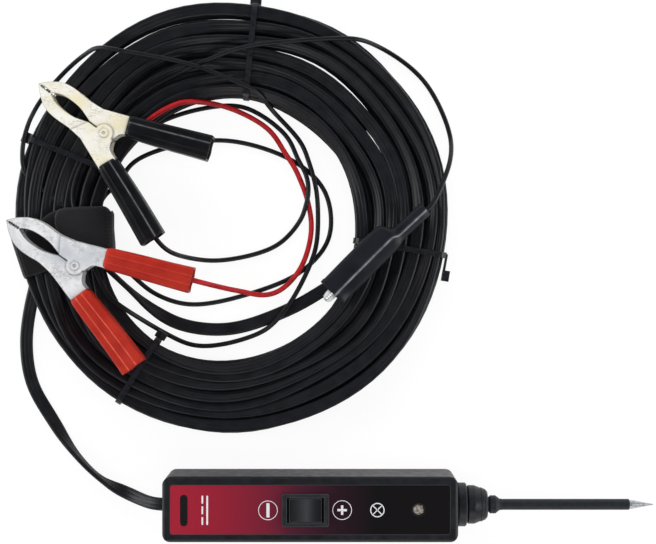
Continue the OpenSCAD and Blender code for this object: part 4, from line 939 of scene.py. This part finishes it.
def flat_mark(name, outlines, top, thick=0.06, sunk=0.02):
    """Thin printed marks on the label: each is a closed loop, or an outer with an inner loop."""
    verts, faces = [], []
    for loops in outlines:
        rings = [[(x, y, top - sunk if low else top + thick) for x, y in loop]
                 for loop in loops for low in (True, False)]
        start, m = len(verts), len(rings[0])
        verts += [p for ring in rings for p in ring]
        if len(loops) == 1:
            faces += [list(range(start + m, start + 2 * m)), list(range(start, start + m))[::-1]]
        # Walls between rings: lower and upper outer ones are 0 and 1, the inner ones 2 and 3
        walls = [(0, 1)] if len(loops) == 1 else [(0, 1), (3, 2), (1, 3), (2, 0)]
        for k in range(m):
            for a, b in walls:
                a, b, after = start + a * m, start + b * m, (k + 1) % m
                faces.append([a + k, a + after, b + after, b + k])
    return new_mesh(name, verts, faces, smooth=False)


def ring_mark(x, y, r, line, count=48):
    """Ring whose line lies inside its radius."""
    turn = [2 * math.pi * k / count for k in range(count)]
    return [[(x + q * math.cos(t), y + q * math.sin(t)) for t in turn] for q in (r, r - line)]


def bar_mark(x, y, w, h, r=0.0, lean=0.0, count=6):
    """Bar with rounded corners, turned about its middle."""
    points = []
    for cx, cy, first in ((1, 1, 0), (-1, 1, 90), (-1, -1, 180), (1, -1, 270)):
        for k in range(count):
            t = math.radians(first + 90 * k / (count - 1))
            points.append((cx * (w / 2 - r) + r * math.cos(t), cy * (h / 2 - r) + r * math.sin(t)))
    c, s = math.cos(math.radians(lean)), math.sin(math.radians(lean))
    return [[(x + c * p - s * q, y + s * p + c * q) for p, q in points]]


# A minus and a plus in rings, the symbol for direct current, a lamp symbol; an empty capsule
white_marks = [
    ring_mark(-61.9, -0.2, 4.2, 0.28), bar_mark(-61.9, -0.2, 1.35, 6.1, 0.1),
    ring_mark(-29.9, -0.1, 4.2, 0.28), bar_mark(-29.9, -0.1, 1.0, 4.1, 0.1),
    bar_mark(-31.2, -0.1, 1.5, 1.0, 0.1), bar_mark(-28.6, -0.1, 1.5, 1.0, 0.1),
    bar_mark(-88.1, -0.2, 0.75, 12.6, 0.2), bar_mark(-90.2, 4.4, 0.7, 3.4, 0.2),
    bar_mark(-90.2, -0.2, 0.7, 3.4, 0.2), bar_mark(-90.2, -4.8, 0.7, 3.4, 0.2),
    ring_mark(-14.7, -0.1, 3.1, 0.42), bar_mark(-14.7, -0.1, 0.42, 5.5, 0.1, 45),
    bar_mark(-14.7, -0.1, 0.42, 5.5, 0.1, -45)]
dark_marks = [bar_mark(-98.2, -0.3, 3.2, 13.6, 1.58)]
for name, marks, ink in (("printed_marks", white_marks, "white_ink"),
                         ("printed_capsule", dark_marks, "black_ink")):
    mark = flat_mark(name, marks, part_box("label_film")[1][2] / MM)
    settle(mark, ink)


def bending_spring(colour):
    """The clamp's spring as a mesh of its own, in place of the part's."""
    node = nodes[f"{colour}_spring"]
    verts = [tuple((node.matrix_world @ v.co) / MM) for v in node.data.vertices]
    faces = [tuple(f.vertices) for f in node.data.polygons]
    spring = new_mesh(f"{colour}_bent_spring", verts, faces)
    paint(spring, "steel")
    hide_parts(f"{colour}_spring")
    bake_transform(spring)
    return spring


springs = {colour: bending_spring(colour) for colour in CLAMPS}
grips = {}
for colour in CLAMPS:
    for part in CLAMPS[colour]["grips"]:
        grip = clamp_grip(f"{colour}_sleeve_{part}", colour, part)
        settle(grip, f"{colour}_grip",
               ROOT if part == "fixed" else f"{colour}_jaw")
        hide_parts(f"{colour}_grip_{part}")
        grips.setdefault(colour, []).append(grip)
for piece, key, slot in zip(probe_rings(), ("sleeve", "gland"), ("sleeve", "housing")):
    settle(piece, key)
boot = clip_boot()
paint(boot, "boot")
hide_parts("clip_boot")
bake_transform(boot)
straps = strap_pieces()
for strap, key in zip(straps, ("strap", "strap_lap")):
    settle(strap, key)
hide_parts("coil_strap")
length_of(cable_line)
for piece, line, colour, d in ((red_lead, red_line, "red", RED_LEAD_D),
                               (black_lead, black_line, "black", LEAD_D)):
    length_of(line)
length_of(aux_line)


# Floor: half its side, the share and strength of its own glow as the camera sees it
FLOOR_HALF, GLOW_SHARE, GLOW = 4000, 0.88, 1.02
# World: its strength, what the camera's rays add to it, and its grey by height over the horizon
WORLD, WORLD_SEEN = 0.85, 0.2
SKY = [(0.0, 1.0), (0.12, 0.95), (0.28, 1.0), (0.43, 0.45), (0.6, 0.1), (1.0, 0.05)]
# Lamps: name, place and size in metres, power, and whether they show in reflections
LAMP_AIM = (-0.04, 0.1, 0)
LAMPS = [
    ("key", (-0.15, 1.15, 0.55), (1.3, 0.5), 9.5, False),
    ("left", (-1.1, 0.15, 0.5), (0.5, 1.0), 5, True),
    ("right", (1.0, -0.1, 0.6), (0.5, 0.9), 4.5, True),
    ("near", (-0.1, -0.9, 0.7), (1.0, 0.4), 3, True),
    ("top", (-0.04, 0.1, 1.4), (1.2, 1.2), 8.2, False)]


def area_light(name, at, size, power, glossy):
    data = bpy.data.lights.new(name, "AREA")
    data.shape = "RECTANGLE"
    data.size, data.size_y = size
    data.energy = power
    light = bpy.data.objects.new(name, data)
    light.location = at
    direction = Vector(LAMP_AIM) - Vector(at)
    light.rotation_euler = direction.to_track_quat("-Z", "Y").to_euler()
    light.visible_glossy = glossy
    bpy.context.collection.objects.link(light)


def studio():
    """Pale floor, a bright horizon under a dark top, and soft boxes round the object."""
    corners = [(x * FLOOR_HALF, y * FLOOR_HALF, 0) for x, y in ((-1, -1), (1, -1), (1, 1), (-1, 1))]
    floor = new_mesh("floor", corners, [range(len(corners))], smooth=False)
    m = Nodes("floor_paper", 0.9)
    m.colour(m.ramp(m.noise(3, 2.0), [(0.0, (0.93,) * 3), (1.0, (0.95,) * 3)]))
    glow = put(m.add("ShaderNodeEmission"), Strength=GLOW)
    mix = m.add("ShaderNodeMixShader")
    ray = m.add("ShaderNodeLightPath").outputs["Is Camera Ray"]
    m.join(m.times(ray, GLOW_SHARE), mix.inputs["Fac"])
    m.join(m.shader.outputs["BSDF"], mix.inputs[1])
    m.join(glow.outputs["Emission"], mix.inputs[2])
    m.join(mix.outputs["Shader"], m.tree.nodes["Material Output"].inputs["Surface"])
    floor.data.materials.append(m.material)
    world = bpy.data.worlds.new("studio")
    world.use_nodes = True
    tree = world.node_tree
    sky = tree.nodes["Background"]
    split = tree.nodes.new("ShaderNodeSeparateXYZ")
    ramp = tree.nodes.new("ShaderNodeValToRGB")
    fill_ramp(ramp.color_ramp, [(at, (level,) * 3) for at, level in SKY])
    way = tree.nodes.new("ShaderNodeTexCoord").outputs["Generated"]
    tree.links.new(way, split.inputs["Vector"])
    tree.links.new(split.outputs["Z"], ramp.inputs["Fac"])
    tree.links.new(ramp.outputs["Color"], sky.inputs["Color"])
    seen = tree.nodes.new("ShaderNodeMath")
    seen.operation = "MULTIPLY_ADD"
    seen.inputs[1].default_value = WORLD_SEEN
    seen.inputs[2].default_value = WORLD
    ray = tree.nodes.new("ShaderNodeLightPath").outputs["Is Camera Ray"]
    tree.links.new(ray, seen.inputs[0])
    tree.links.new(seen.outputs["Value"], sky.inputs["Strength"])
    bpy.context.scene.world = world
    for lamp in LAMPS:
        area_light(*lamp)
    bpy.context.scene.view_settings.view_transform = "Standard"
    bpy.context.scene.view_settings.look = "None"


studio()
